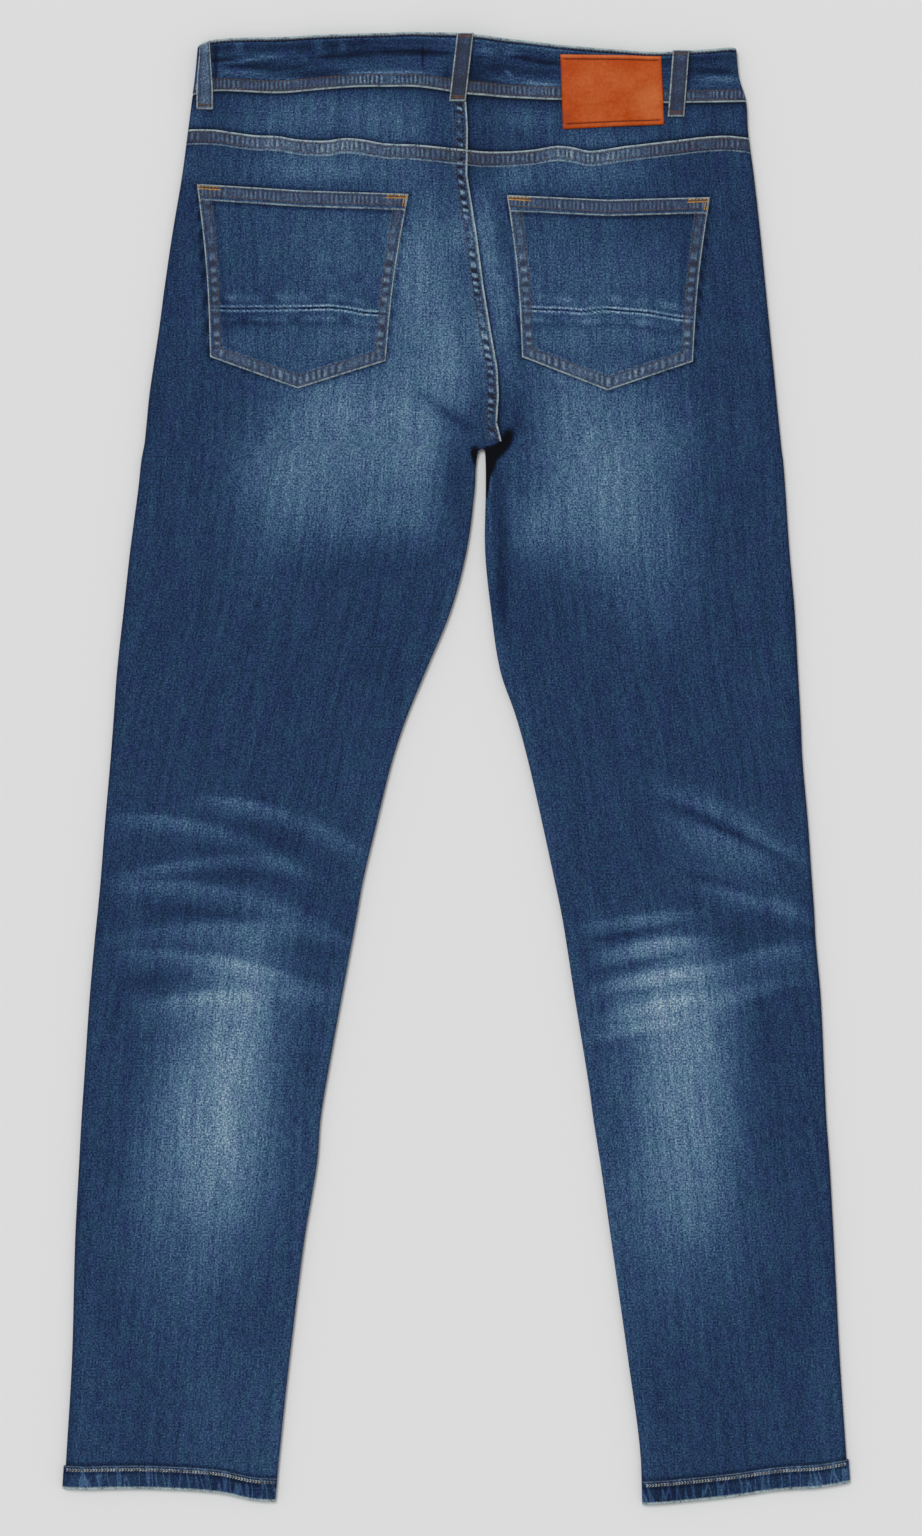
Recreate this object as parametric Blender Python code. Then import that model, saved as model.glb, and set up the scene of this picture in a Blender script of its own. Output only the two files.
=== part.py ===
"""Slim fit denim jeans, laid flat on their front so that the back faces up.

Lengths below are millimetres and become metres where a mesh is made. X runs to the wearer's
right, Y to the waist and Z up from the surface that the jeans lie on.
"""

import math
from collections import namedtuple

import bmesh
import bpy
from mathutils import Vector
from mathutils.bvhtree import BVHTree

MM = 0.001

CLOTH = 1.2  # thickness of the denim
FELL_LIFT = 0.9  # how far a felled seam stands above the panel
FELL_WIDTH = 10.8
FELL_FOOT = 12.0  # length over which the seat seam's fell comes up at the crotch
FELL_SLOPE = 1.3  # width over which a felled seam drops back to the panel
GAP = 0.3  # clearance between neighbouring pieces
HALF_GAP = 0.15
LAY_GAP = 0.35  # clearance between a piece and the cloth that it lies on
FOLD = 4.0  # width of the turn at a side seam
CROTCH_Y = 243.0
CROTCH_DROP = 9.0  # length over which the seat seam turns under at the crotch

HEM_HEIGHT = 15.0
HEM_LIFT = 0.6
HEM_THICK = 2.4
HEM_FLARE = 1.6  # how far the hem stands out past the leg at the outer edge

BAND_THICK = 2.4
BAND_TOP = 7.4
BAND_GAP = 0.5  # clearance between the lapped ends of the waistband
BAND_FOLD = 4.6
FRONT_DROP = 22.0  # how much lower the waistband runs at the centre front
UNDERLAP = 32.0  # length of the right waistband end behind the left one
LAP_STEP = 3.0  # how far past the left end the right one comes down from over it
LAP_STEP_SLOPE = 24.0
OVERLAP = 10.0  # how far the left waistband end passes the centre front

CENTRE_LOW_X = 20.0  # the centre front at the crotch
CENTRE_HIGH_X = 5.0
CENTRE_HIGH_Y = 512.0
FLY_LAP = 8.0  # how far each front panel passes the centre front along the fly
FLY_LENGTH = 165.0
FLY_EASE = 24.0  # length over which the lap narrows to nothing
FLY_STEP = 2.0  # how far past the lap the right front comes down from over the left one
FLY_STEP_SLOPE = 12.0
FLY_FOOT = 22.0
FLY_RISE = 20.0

# How cloth comes down from what holds it off the surface: flat to half_width either side of its
# middle and down over slope, and from below its lower end up over rise.
Tent = namedtuple("Tent", "half_width slope below rise")
LOOP_TENT = Tent(17.0, 22.0, 26.0, 18.0)
BUTTON_TENT = Tent(10.5, 18.0, 46.0, 34.0)
LAP_LEAD = 22.0  # how far before the lapped waistband ends the back starts to rise over them
LAP_LEAD_SLOPE = 20.0
LAP_TAIL = 14.0
LAP_TAIL_SLOPE = 26.0
LAP_FOOT_Y = 455.0
LAP_RISE = 30.0

SCOOP_WIDTH = 98.0
SCOOP_HEIGHT = 74.0
SCOOP_STEP = 2.5
FACING_LAP = 14.0
FACING_EASE = 0.9  # clearance between a facing's top edge and the waistband

LOOP_WIDTH = 12.6
LOOP_THICK = 1.5
LOOP_END_LIFT = 0.9
LOOP_END = 9.0
LOOP_DROP = 8.0  # how far a front loop reaches below the waistband
LOOP_EASE = 1.0  # slack between a loop and the waistband

POCKET_HEM = 12.2
POCKET_TURN = 10.6  # width of the turned-in edge at the sides and the bottom
POCKET_EDGE_LIFT = 0.55
POCKET_HEM_LIFT = 0.8
PRESS_DEPTH = 0.45  # depth of the pressed line across a pocket
PRESS_WIDTH = 4.0

PATCH_THICK = 1.6
PATCH_GROOVE = 0.45
PATCH_INSET = 3.6

BUTTON_RADIUS = 8.5
BUTTON_THICK = 2.3
BUTTON_RIM = 1.6
BUTTON_DISH = 0.7

INWARD = {"left": 1.0, "right": -1.0}  # the way along X from each side to the middle
# Places close to an edge, whose height on a slanting row stands for that edge's.
NEAR_SIDE = {"left": -210.0, "right": 210.0}
NEAR_INSEAM = {"left": -137.0, "right": 137.0}
NEAR_SEAT = 10.0
BELOW_WAIST = 500.0  # a level just below the waistband
WAIST_SIDE_LOW = {"left": 511.5, "right": 507.0}  # where the waistband's lower edge meets each side
WAIST_SIDE_HIGH = 548.0

# A row for each level of the legs, from the crotch down: where each leg's edges run and how
# high its back lies above the surface.
Leg = namedtuple("Leg", "y left_outer left_inner right_inner right_outer height")
LEGS = [
    Leg(243.0, -237.5, 19.0, 21.5, 248.0, 6.2),
    Leg(235.0, -239.0, 16.5, 22.5, 249.0, 6.2),
    Leg(212.0, -241.5, 14.5, 23.0, 251.0, 6.2),
    Leg(166.5, -247.5, 8.5, 22.5, 254.0, 6.2),
    Leg(121.0, -252.5, -3.5, 27.0, 258.0, 6.1),
    Leg(75.0, -257.5, -22.5, 34.0, 260.5, 6.0),
    Leg(40.0, -260.0, -37.0, 46.0, 262.5, 6.0),
    Leg(7.0, -262.5, -48.0, 55.0, 264.0, 6.0),
    Leg(-39.0, -266.5, -59.5, 65.5, 268.0, 6.1),
    Leg(-84.5, -270.0, -70.0, 75.0, 271.0, 6.2),
    Leg(-130.0, -274.5, -78.5, 84.0, 274.0, 6.1),
    Leg(-175.5, -278.5, -87.0, 91.0, 278.0, 5.9),
    Leg(-267.0, -284.5, -102.0, 105.5, 281.5, 5.8),
    Leg(-358.0, -289.0, -115.0, 118.0, 287.0, 5.8),
    Leg(-449.0, -291.5, -126.0, 131.5, 292.0, 5.8),
    Leg(-517.5, -294.5, -133.0, 139.5, 294.7, 5.6),
    Leg(-560.0, -297.0, -136.5, 141.5, 297.6, 5.6),
]

# A row for each level from the crotch up to the waist: the sides, the seat seam's free edge and
# the height of the back.
Hip = namedtuple("Hip", "y left_outer seat_seam right_outer height")
HIPS = [
    Hip(560.0, -195.0, 7.5, 213.0, 6.8),
    Hip(527.5, -198.0, 8.0, 215.5, 6.8),
    Hip(508.5, -200.5, 8.0, 221.0, 6.7),
    Hip(485.5, -203.5, 9.5, 222.5, 6.6),
    Hip(451.5, -208.0, 9.0, 227.0, 6.4),
    Hip(406.5, -215.5, 15.5, 232.0, 6.3),
    Hip(365.5, -221.5, 19.0, 236.0, 6.2),
    Hip(335.0, -225.5, 24.5, 239.0, 6.2),
    Hip(305.0, -230.0, 31.0, 242.0, 6.2),
    Hip(284.0, -233.0, 34.0, 244.0, 6.2),
    Hip(263.5, -235.0, 33.5, 246.0, 6.2),
    Hip(248.5, -236.5, 34.0, 247.5, 6.2),
    Hip(243.0, -237.5, 20.0, 248.0, 6.2),
]

# A row for each place along the waist: the waistband's top edge and its bottom edge.
Waist = namedtuple("Waist", "x top bottom")
WAIST = [
    Waist(-204.0, 548.0, 511.5),
    Waist(-180.5, 554.0, 515.0),
    Waist(-133.5, 555.5, 513.5),
    Waist(-78.5, 557.0, 517.5),
    Waist(-19.5, 558.5, 516.5),
    Waist(7.0, 558.5, 512.5),
    Waist(50.5, 554.0, 509.5),
    Waist(85.5, 549.5, 508.0),
    Waist(110.0, 546.5, 507.5),
    Waist(151.0, 545.0, 506.0),
    Waist(225.0, 548.0, 507.0),
]

# A row for each place along the top edge of the felled yoke seam, which drifts up and down.
YokeSeam = namedtuple("YokeSeam", "x y")
YOKE_SEAM = [
    YokeSeam(-204.5, 484.3),
    YokeSeam(-177.0, 482.2),
    YokeSeam(-149.5, 479.6),
    YokeSeam(-115.5, 476.0),
    YokeSeam(-98.0, 477.6),
    YokeSeam(-80.0, 478.9),
    YokeSeam(-60.5, 477.7),
    YokeSeam(-29.5, 473.5),
    YokeSeam(7.0, 469.0),
    YokeSeam(20.0, 468.3),
    YokeSeam(45.5, 471.1),
    YokeSeam(70.0, 472.9),
    YokeSeam(100.0, 468.0),
    YokeSeam(125.0, 472.3),
    YokeSeam(169.5, 477.3),
    YokeSeam(209.0, 481.1),
    YokeSeam(226.0, 479.8),
]

# A row for each place along a hem: where its lower edge lies.
HemPoint = namedtuple("HemPoint", "x y")
HEMS = {"left": [
    HemPoint(-299.0, -545.5),
    HemPoint(-262.5, -546.0),
    HemPoint(-221.0, -546.5),
    HemPoint(-177.5, -550.5),
    HemPoint(-135.5, -556.5),
], "right": [
    HemPoint(141.0, -558.5),
    HemPoint(177.5, -555.5),
    HemPoint(218.5, -551.0),
    HemPoint(254.0, -546.5),
    HemPoint(299.0, -540.0),
]}

# A row for each of the largest folds: its ends, how deep it is (a ridge has a negative depth)
# and how wide.
Fold = namedtuple("Fold", "x1 y1 x2 y2 depth width")
FOLDS = [
    Fold(28.0, 440.0, 41.5, 364.0, 0.8, 7.0),
    Fold(41.5, 364.0, 51.5, 284.0, 1.1, 7.0),
    Fold(51.5, 284.0, 43.5, 254.0, 1.2, 6.0),
    Fold(35.0, 222.0, 36.5, 110.0, 0.7, 7.0),
    Fold(-18.0, 275.0, 8.0, 250.0, 0.7, 6.0),
    Fold(156.0, -17.5, 260.0, -72.0, 0.9, 8.0),
    Fold(173.5, -78.5, 233.5, -97.5, 0.7, 7.0),
    Fold(88.5, -129.0, 161.5, -122.5, 0.6, 7.0),
    Fold(100.0, -150.0, 250.0, -128.0, -0.5, 8.0),
    Fold(-195.0, -28.0, -75.0, -62.0, -0.6, 8.0),
    Fold(-238.0, -52.0, -140.0, -64.0, 0.6, 7.0),
    Fold(-262.0, -104.0, -110.0, -106.0, 0.7, 8.0),
    Fold(-268.0, -124.0, -120.0, -128.0, -0.5, 7.0),
    Fold(-240.0, -160.0, -120.0, -150.0, 0.6, 8.0),
]

# A row for each pocket: its three upper and three lower corners.
Pocket = namedtuple("Pocket", "name x_tl y_tl x_top y_top x_tr y_tr x_bl y_bl x_tip y_tip x_br y_br")
POCKETS = [
    Pocket("back_pocket_left", -196.5, 444.5, -116.0, 439.5, -35.5, 437.0,
           -186.5, 313.0, -116.5, 289.0, -53.0, 310.0),
    Pocket("back_pocket_right", 39.0, 436.0, 119.5, 432.5, 193.5, 434.5,
           50.5, 313.0, 116.5, 287.5, 180.5, 309.5),
]
POCKET_WAIST = 2.2  # how far a pocket's sides curve in below the hem
POCKET_PRESS_Y = 348.0

# A row for each belt loop on the back: the middle of its top end and of its bottom end.
Loop = namedtuple("Loop", "name x_top y_top x_bottom y_bottom")
BACK_LOOPS = [
    Loop("loop_back_left", -190.4, 553.0, -190.0, 501.0),
    Loop("loop_back_centre", 6.5, 558.9, 1.5, 506.0),
    Loop("loop_back_right", 171.3, 546.0, 167.5, 495.5),
]
# The loops of the front lie under the waistband, so their heights follow its lower run there.
FRONT_LOOP_X = {"loop_front_left": -92.0, "loop_front_right": 106.0}
FRONT_LOOP_RAISE = 2.1  # how far the waistband lies above the surface over a front loop
BUTTON_RAISE = 2.7
BUTTON_X = 9.0

PATCH_CORNERS = {"top_left": (79.5, 542.5), "top_right": (155.5, 541.6),
                 "bottom_left": (81.5, 486.5), "bottom_right": (158.5, 490.0)}

DENIM_BLUE = (0.022, 0.053, 0.125)
DENIM_REVERSE = (0.16, 0.2, 0.27)
LEATHER_TAN = (0.47, 0.1, 0.025)
AGED_METAL = (0.32, 0.26, 0.2)


def clear_scene():
    for obj in list(bpy.data.objects):
        bpy.data.objects.remove(obj, do_unlink=True)


def make_material(name, colour, roughness, metallic=0.0):
    material = bpy.data.materials.new(name)
    material.use_nodes = True
    shader = material.node_tree.nodes["Principled BSDF"]
    shader.inputs["Base Color"].default_value = (*colour, 1.0)
    shader.inputs["Roughness"].default_value = roughness
    shader.inputs["Metallic"].default_value = metallic
    return material


def between(a, b, t):
    return a + (b - a) * t


def ease(t):
    t = min(1.0, max(0.0, t))
    return t * t * (3.0 - 2.0 * t)


def curve_through(table, key, column, at):
    """Value of a column at a key, on a smooth curve through the table's rows."""
    rows = sorted(table, key=lambda row: getattr(row, key))
    places = [getattr(row, key) for row in rows]
    values = [getattr(row, column) for row in rows]
    at = min(places[-1], max(places[0], at))
    i = 0
    while i < len(places) - 2 and at > places[i + 1]:
        i += 1

    def slope(k):
        low = max(0, k - 1)
        high = min(len(places) - 1, k + 1)
        return (values[high] - values[low]) / (places[high] - places[low])

    width = places[i + 1] - places[i]
    t = (at - places[i]) / width
    return ((2 * t**3 - 3 * t**2 + 1) * values[i] + (t**3 - 2 * t**2 + t) * width * slope(i)
            + (3 * t**2 - 2 * t**3) * values[i + 1] + (t**3 - t**2) * width * slope(i + 1))


def straight_through(table, key, column, at):
    """Value of a column at a key, on straight lines between the table's rows."""
    rows = sorted(table, key=lambda row: getattr(row, key))
    for low, high in zip(rows, rows[1:]):
        if at <= getattr(high, key):
            break
    start = getattr(low, key)
    t = (at - start) / (getattr(high, key) - start)
    return between(getattr(low, column), getattr(high, column), min(1.0, max(0.0, t)))


def outer_edge(side, y):
    table = HIPS if y > CROTCH_Y else LEGS
    return curve_through(table, "y", side + "_outer", y)


def seat_seam(y):
    return straight_through(HIPS, "y", "seat_seam", y)


def inseam(side, y):
    return curve_through(LEGS, "y", side + "_inner", y)


def centre_front(y):
    """The line where the fronts meet, straight from the crotch to the waist."""
    return between(CENTRE_LOW_X, CENTRE_HIGH_X, (y - CROTCH_Y) / (CENTRE_HIGH_Y - CROTCH_Y))


def waist_line(x, column):
    return curve_through(WAIST, "x", column, x)


def yoke_seam(x):
    return curve_through(YOKE_SEAM, "x", "y", x)


def hem_line(side, x):
    return curve_through(HEMS[side], "x", "y", x)


def front_waist(x, column):
    """Height of the waistband's edge on the front, lower towards the centre."""
    left = outer_edge("left", WAIST_SIDE_LOW["left"])
    right = outer_edge("right", WAIST_SIDE_LOW["right"])
    across = (x - left) / (right - left)
    side = between(waist_line(left, column), waist_line(right, column), across)
    return side - FRONT_DROP * math.sin(math.pi * min(1.0, max(0.0, across))) ** 1.2


def bump(distance, half_width, ramp):
    """One within half_width, falling to nothing over the ramp."""
    return 1.0 - ease((abs(distance) - half_width) / ramp)


def tented(tent, across, up):
    return bump(across, tent.half_width, tent.slope) * ease((up + tent.below) / tent.rise)


def button_y():
    return (front_waist(BUTTON_X, "bottom") + front_waist(BUTTON_X, "top")) / 2


def surface_raise(x, y):
    """How far the cloth of the front is held off the surface by what lies under it."""
    raised = 0.0
    for loop_x in FRONT_LOOP_X.values():
        low = front_waist(loop_x, "bottom") - LOOP_DROP
        raised = max(raised, FRONT_LOOP_RAISE * tented(LOOP_TENT, x - loop_x, y - low))
    return max(raised, BUTTON_RAISE * tented(BUTTON_TENT, x - BUTTON_X, y - button_y()))


def underlap_raise(x, y):
    """How far the back is held up by the right waistband end that lies behind the left one."""
    start = centre_front(y) - UNDERLAP
    lead = ease((x - start + LAP_LEAD) / LAP_LEAD_SLOPE)
    tail = 1.0 - ease((x - centre_front(y) - LAP_TAIL) / LAP_TAIL_SLOPE)
    return (BAND_THICK + BAND_GAP) * lead * tail * ease((y - LAP_FOOT_Y) / LAP_RISE)


def fly_raise(x, y):
    """How far the right front is held up by the left front's edge beneath it."""
    past = x - (centre_front(y) + FLY_LAP + FLY_STEP)
    up = y - (fly_bottom() - FLY_FOOT)
    return (CLOTH + GAP) * (1.0 - ease(past / FLY_STEP_SLOPE)) * ease(up / FLY_RISE)


def fly_bottom():
    return front_waist(centre_front(BELOW_WAIST), "bottom") - FLY_LENGTH


def fly_lap(y):
    return FLY_LAP * ease((y - fly_bottom()) / FLY_EASE)


def fold_depth(x, y):
    depth = 0.0
    for fold in FOLDS:
        along = Vector((fold.x2 - fold.x1, fold.y2 - fold.y1))
        offset = Vector((x - fold.x1, y - fold.y1))
        t = min(1.0, max(0.0, offset.dot(along) / along.length_squared))
        distance = (offset - along * t).length
        depth += fold.depth * math.exp(-((distance / fold.width) ** 2))
    return depth


def back_height(x, y):
    """Height of the upper cloth's face, apart from seams and turned edges."""
    table = HIPS if y > CROTCH_Y else LEGS
    height = curve_through(table, "y", "height", y)
    return height + surface_raise(x, y) + underlap_raise(x, y) - fold_depth(x, y)


def middle_height(y):
    table = HIPS if y > CROTCH_Y else LEGS
    return curve_through(table, "y", "height", y) / 2


def turn(distance, width):
    """Share of the full height at a distance in from a turned edge."""
    if distance >= width:
        return 1.0
    return math.sqrt(max(0.0, 1.0 - (1.0 - distance / width) ** 2))


def crotch_opening(y):
    """One where the seat seam lies flat, nothing where it has turned under."""
    return turn(max(0.0, y - CROTCH_Y), CROTCH_DROP)


def solid_sheet(name, outer, inner, material):
    """A closed sheet between two grids of points, each a list of rows."""
    rows = len(outer)
    columns = len(outer[0])
    mesh = bmesh.new()
    bmesh.ops.create_grid(mesh, x_segments=columns - 1, y_segments=rows - 1, size=1.0)
    place = mesh.verts.layers.int.new("place")
    for index, vertex in enumerate(mesh.verts):
        vertex[place] = index
        vertex.co = Vector(outer[index // columns][index % columns]) * MM
    grown = bmesh.ops.extrude_face_region(mesh, geom=mesh.faces[:])
    for vertex in grown["geom"]:
        if isinstance(vertex, bmesh.types.BMVert):
            index = vertex[place]
            vertex.co = Vector(inner[index // columns][index % columns]) * MM
    bmesh.ops.recalc_face_normals(mesh, faces=mesh.faces)
    data = bpy.data.meshes.new(name)
    mesh.to_mesh(data)
    mesh.free()
    data.materials.append(material)
    data.shade_smooth()
    data.set_sharp_from_angle(angle=math.radians(35.0))
    obj = bpy.data.objects.new(name, data)
    bpy.context.scene.collection.objects.link(obj)
    return obj


def even_steps(start, end, count):
    return [between(start, end, k / count) for k in range(count + 1)]


TURN_ANGLES = [0.0, 45.0, 90.0]
TURN_IN = [FOLD * (1.0 - math.cos(math.radians(angle))) for angle in TURN_ANGLES]
SEAM_IN = [24.0, FELL_WIDTH + FELL_SLOPE, FELL_WIDTH]
INNER_TURN = [FOLD, TURN_IN[1], 0.0]
MIDDLE_COLUMNS = 6


def across_columns(x_outer, x_inner, seam_in, middle_columns):
    """X of each column with its distances from the outer and the inner edge."""
    way = 1.0 if x_inner > x_outer else -1.0
    width = abs(x_inner - x_outer)
    distances = list(TURN_IN)
    first = distances[-1]
    last = width - seam_in[0]
    distances += even_steps(first, last, middle_columns)[1:-1]
    distances += [width - inset for inset in seam_in + INNER_TURN]
    return [(x_outer + way * d, d, width - d) for d in distances]


def wall_pair(x, y, way, d_outer, d_inner, face, middle, flat_inner, thick, folded_outer=1.0):
    """Outer and inner point of a wall whose edges turn towards the middle height.

    face is the height of its outer side; flat_inner is one where the inner edge stays flat.
    """
    up = 1.0 if face > middle else -1.0
    e_outer = between(1.0, turn(d_outer, FOLD), folded_outer)
    e_inner = between(turn(d_inner, FOLD), 1.0, flat_inner)
    rise = min(e_outer, e_inner)
    z_outer = middle + (face - middle) * rise
    z_inner = middle + (face - up * thick - middle) * rise
    shift = 0.0
    if d_outer < FOLD:
        shift = thick * (1.0 - d_outer / FOLD) * folded_outer
    if d_inner < FOLD:
        shift -= thick * (1.0 - d_inner / FOLD) * (1.0 - flat_inner)
    return (x, y, z_outer), (x + way * shift, y, z_inner)


def inner_edge(side, y):
    """X of a back panel's inner edge at a level."""
    if y > CROTCH_Y:
        return seat_seam(y) + (HALF_GAP if side == "right" else -HALF_GAP)
    return inseam(side, y)


def side_of_row(side, y_of, in_hem):
    """X where a row meets the side of its leg, which the hem flares past."""
    x_out = outer_edge(side, y_of(NEAR_SIDE[side]))
    flare = HEM_FLARE if in_hem else 0.0
    return outer_edge(side, y_of(x_out)) - INWARD[side] * flare


def back_row(side, kind, level):
    """Points of one row across a back panel."""
    if kind == "hem":
        y_of = lambda x: hem_line(side, x) + level
    elif kind == "yoke":
        y_of = lambda x: yoke_seam(x) - level
    elif kind == "waist":
        y_of = lambda x: waist_line(x, "bottom") - level
    elif kind == "part way":
        y_of = lambda x: between(yoke_seam(x), waist_line(x, "bottom"), level)
    else:
        y_of = lambda x: level
    in_hem = kind == "hem" and level < HEM_HEIGHT + GAP
    in_yoke_fell = kind == "yoke" and 0.0 <= level < FELL_WIDTH + GAP
    way = INWARD[side]
    x_out = side_of_row(side, y_of, in_hem)
    x_in = inner_edge(side, y_of(NEAR_INSEAM[side] if kind == "hem" else NEAR_SEAT))
    outer_row = []
    inner_row = []
    for x, d_outer, d_inner in across_columns(x_out, x_in, SEAM_IN, MIDDLE_COLUMNS):
        y = y_of(x)
        lift = 0.0
        thick = CLOTH
        if in_hem:
            lift = HEM_LIFT
            thick = HEM_THICK
        if in_yoke_fell:
            lift = FELL_LIFT
        if side == "left" and y > CROTCH_Y and d_inner < FELL_WIDTH + GAP:
            lift = max(lift, FELL_LIFT * min(1.0, (y - CROTCH_Y) / FELL_FOOT))
        face = back_height(x, y) + lift
        middle = middle_height(y) + HALF_GAP
        flat = crotch_opening(y) if y > CROTCH_Y else 0.0
        body = thick + (lift if not in_hem else 0.0)
        out_point, in_point = wall_pair(x, y, way, d_outer, d_inner, face, middle, flat, body)
        outer_row.append(out_point)
        inner_row.append(in_point)
    return outer_row, inner_row


def back_levels():
    """Each row of a back panel, from the hem up to the yoke seam."""
    rows = [("hem", 0.0), ("hem", HEM_HEIGHT), ("hem", HEM_HEIGHT + 0.8)]
    rows += [("level", y) for y in even_steps(-500.0, -212.0, 9)]
    rows += [("level", y) for y in even_steps(-197.0, 5.0, 14)]
    rows += [("level", y) for y in (30.0, 60.0, 90.0, 125.0, 160.0, 195.0, 220.0, 235.0)]
    rows += [("level", CROTCH_Y + up) for up in (0.0, 1.2, 3.2, 6.0, 9.0, 20.0)]
    rows += [("level", y) for y in (284.0, 305.0, 335.0, 365.5, 400.0, 430.0)]
    rows += [("yoke", FELL_WIDTH + FELL_SLOPE), ("yoke", FELL_WIDTH), ("yoke", HALF_GAP)]
    return rows


def make_back(side, material):
    outer = []
    inner = []
    for kind, level in back_levels():
        out_row, in_row = back_row(side, kind, level)
        outer.append(out_row)
        inner.append(in_row)
    return solid_sheet("back_" + side, outer, inner, material)


def make_yoke(side, material):
    outer = []
    inner = []
    for kind, level in [("yoke", -HALF_GAP), ("part way", 0.5), ("waist", GAP)]:
        out_row, in_row = back_row(side, kind, level)
        outer.append(out_row)
        inner.append(in_row)
    return solid_sheet("yoke_" + side, outer, inner, material)


FRONT_IN = [30.0, 18.0, FLY_LAP]
FRONT_COLUMNS = 5


def scoop_in(side, y):
    """How far the front panel's edge is cut in from the side at the scoop pocket."""
    bottom = scoop_bottom(side)
    if y <= bottom:
        return 0.0
    t = min(1.0, (y - bottom) / SCOOP_HEIGHT)
    return SCOOP_WIDTH * math.sqrt(1.0 - (1.0 - t) ** 2)


def scoop_bottom(side):
    return front_waist(outer_edge(side, BELOW_WAIST), "bottom") - SCOOP_HEIGHT


def fly_edge(side, y):
    """X of the fly edge of a front panel at a level above the crotch."""
    return centre_front(y) + INWARD[side] * (fly_lap(y) - HALF_GAP)


def front_row(side, kind, level):
    """Points of one row across a front panel up to the scoop."""
    y_of = (lambda x: hem_line(side, x) + level) if kind == "hem" else (lambda x: level)
    in_hem = kind == "hem" and level < HEM_HEIGHT + GAP
    way = INWARD[side]
    x_out = side_of_row(side, y_of, in_hem)
    scoop = 0.0 if kind == "hem" else scoop_in(side, level)
    x_out += way * scoop
    y_in = y_of(NEAR_INSEAM[side])
    x_in = fly_edge(side, y_in) if y_in > CROTCH_Y else inseam(side, y_in)
    outer_row = []
    inner_row = []
    for x, d_outer, d_inner in across_columns(x_out, x_in, FRONT_IN, FRONT_COLUMNS):
        y = y_of(x)
        thick = HEM_THICK if in_hem else CLOTH
        face = surface_raise(x, y)
        if side == "right":
            face += fly_raise(x, y)
        middle = middle_height(y) - HALF_GAP
        flat = crotch_opening(y) if y > CROTCH_Y else 0.0
        out_point, in_point = wall_pair(
            x, y, way, d_outer, d_inner, face, middle, flat, thick, 0.0 if scoop > 0.0 else 1.0)
        outer_row.append(out_point)
        inner_row.append(in_point)
    return outer_row, inner_row


def scoop_row(side, share):
    """Points of a front row beside the scoop, at a share of the way up to the waistband."""
    start = scoop_bottom(side) + SCOOP_LEVELS[-1]
    side_x = outer_edge(side, BELOW_WAIST)
    rise = lambda x: between(start, front_waist(x, "bottom") - GAP, share)
    y_side = rise(side_x)
    x_out = outer_edge(side, y_side) + INWARD[side] * scoop_in(side, y_side)
    x_in = fly_edge(side, rise(CENTRE_HIGH_X))
    outer_row = []
    inner_row = []
    for x, _, _ in across_columns(x_out, x_in, FRONT_IN, FRONT_COLUMNS):
        y = rise(x)
        face = surface_raise(x, y)
        if side == "right":
            face += fly_raise(x, y)
        outer_row.append((x, y, face))
        inner_row.append((x, y, face + CLOTH))
    return outer_row, inner_row


SCOOP_LEVELS = [0.0, SCOOP_STEP, 8.0, 18.0]


def front_levels(side):
    """Each level row of a front panel, from the hem to the lower part of the scoop."""
    rows = [("hem", 0.0), ("hem", HEM_HEIGHT), ("hem", HEM_HEIGHT + 0.8)]
    rows += [("level", y) for y in even_steps(-500.0, 200.0, 14)]
    rows += [("level", y) for y in (220.0, 235.0, 243.0, 244.2, 246.2, 249.0, 252.0, 275.0)]
    rows += [("level", fly_bottom() + rise) for rise in (-24.0, -1.0, 8.0, 16.0, FLY_EASE)]
    bottom = scoop_bottom(side)
    rows += [("level", bottom - 30.0)] if bottom - 30.0 > fly_bottom() + FLY_EASE + 8.0 else []
    rows += [("level", bottom + rise) for rise in SCOOP_LEVELS]
    return rows


def make_front(side, material):
    pairs = [front_row(side, kind, level) for kind, level in front_levels(side)]
    pairs += [scoop_row(side, share) for share in (0.35, 0.68, 1.0)]
    return solid_sheet("front_" + side, [pair[0] for pair in pairs], [pair[1] for pair in pairs],
                       material)


def make_facing(side, material):
    """The cloth behind the scoop, from the side seam to just past the scoop's edge."""
    way = INWARD[side]
    outer = []
    inner = []
    height = CLOTH + GAP
    lowest = scoop_bottom(side) + SCOOP_STEP + GAP
    highest = front_waist(outer_edge(side, BELOW_WAIST), "bottom") - GAP
    for share in (0.0, 0.07, 0.2, 0.45, 0.75, 1.0):
        y_side = between(lowest, highest, share)
        x_out = outer_edge(side, y_side)
        width = scoop_in(side, y_side) + FACING_LAP
        outer_row = []
        inner_row = []
        distances = TURN_IN + even_steps(FOLD, width, 5)[1:]
        for d_outer in distances:
            x = x_out + way * d_outer
            y = between(lowest, front_waist(x, "bottom") - FACING_EASE, share)
            middle = middle_height(y) - HALF_GAP
            face = height + surface_raise(x, y)
            out_point, in_point = wall_pair(
                x, y, way, d_outer, width, face, middle, 1.0, CLOTH)
            outer_row.append(out_point)
            inner_row.append(in_point)
        outer.append(outer_row)
        inner.append(inner_row)
    return solid_sheet("pocket_facing_" + side, outer, inner, material)


BAND_ROWS = [0.0, 0.33, 0.66, 1.0]


def front_places(side):
    """X of each station along one half of the waistband's front, apart from its far end."""
    button = [BUTTON_X + step for step in (-29.0, -11.0, 11.0, 29.0)]
    round_loop = [FRONT_LOOP_X["loop_front_" + side] + step for step in (-24.0, -8.0, 8.0, 24.0)]
    centre = centre_front(BELOW_WAIST)
    if side == "right":
        return [centre - UNDERLAP] + button[1:] + [60.0] + round_loop + [170.0]
    return [-150.0] + round_loop + [-44.0] + button[:2] + [centre + OVERLAP]


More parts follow.
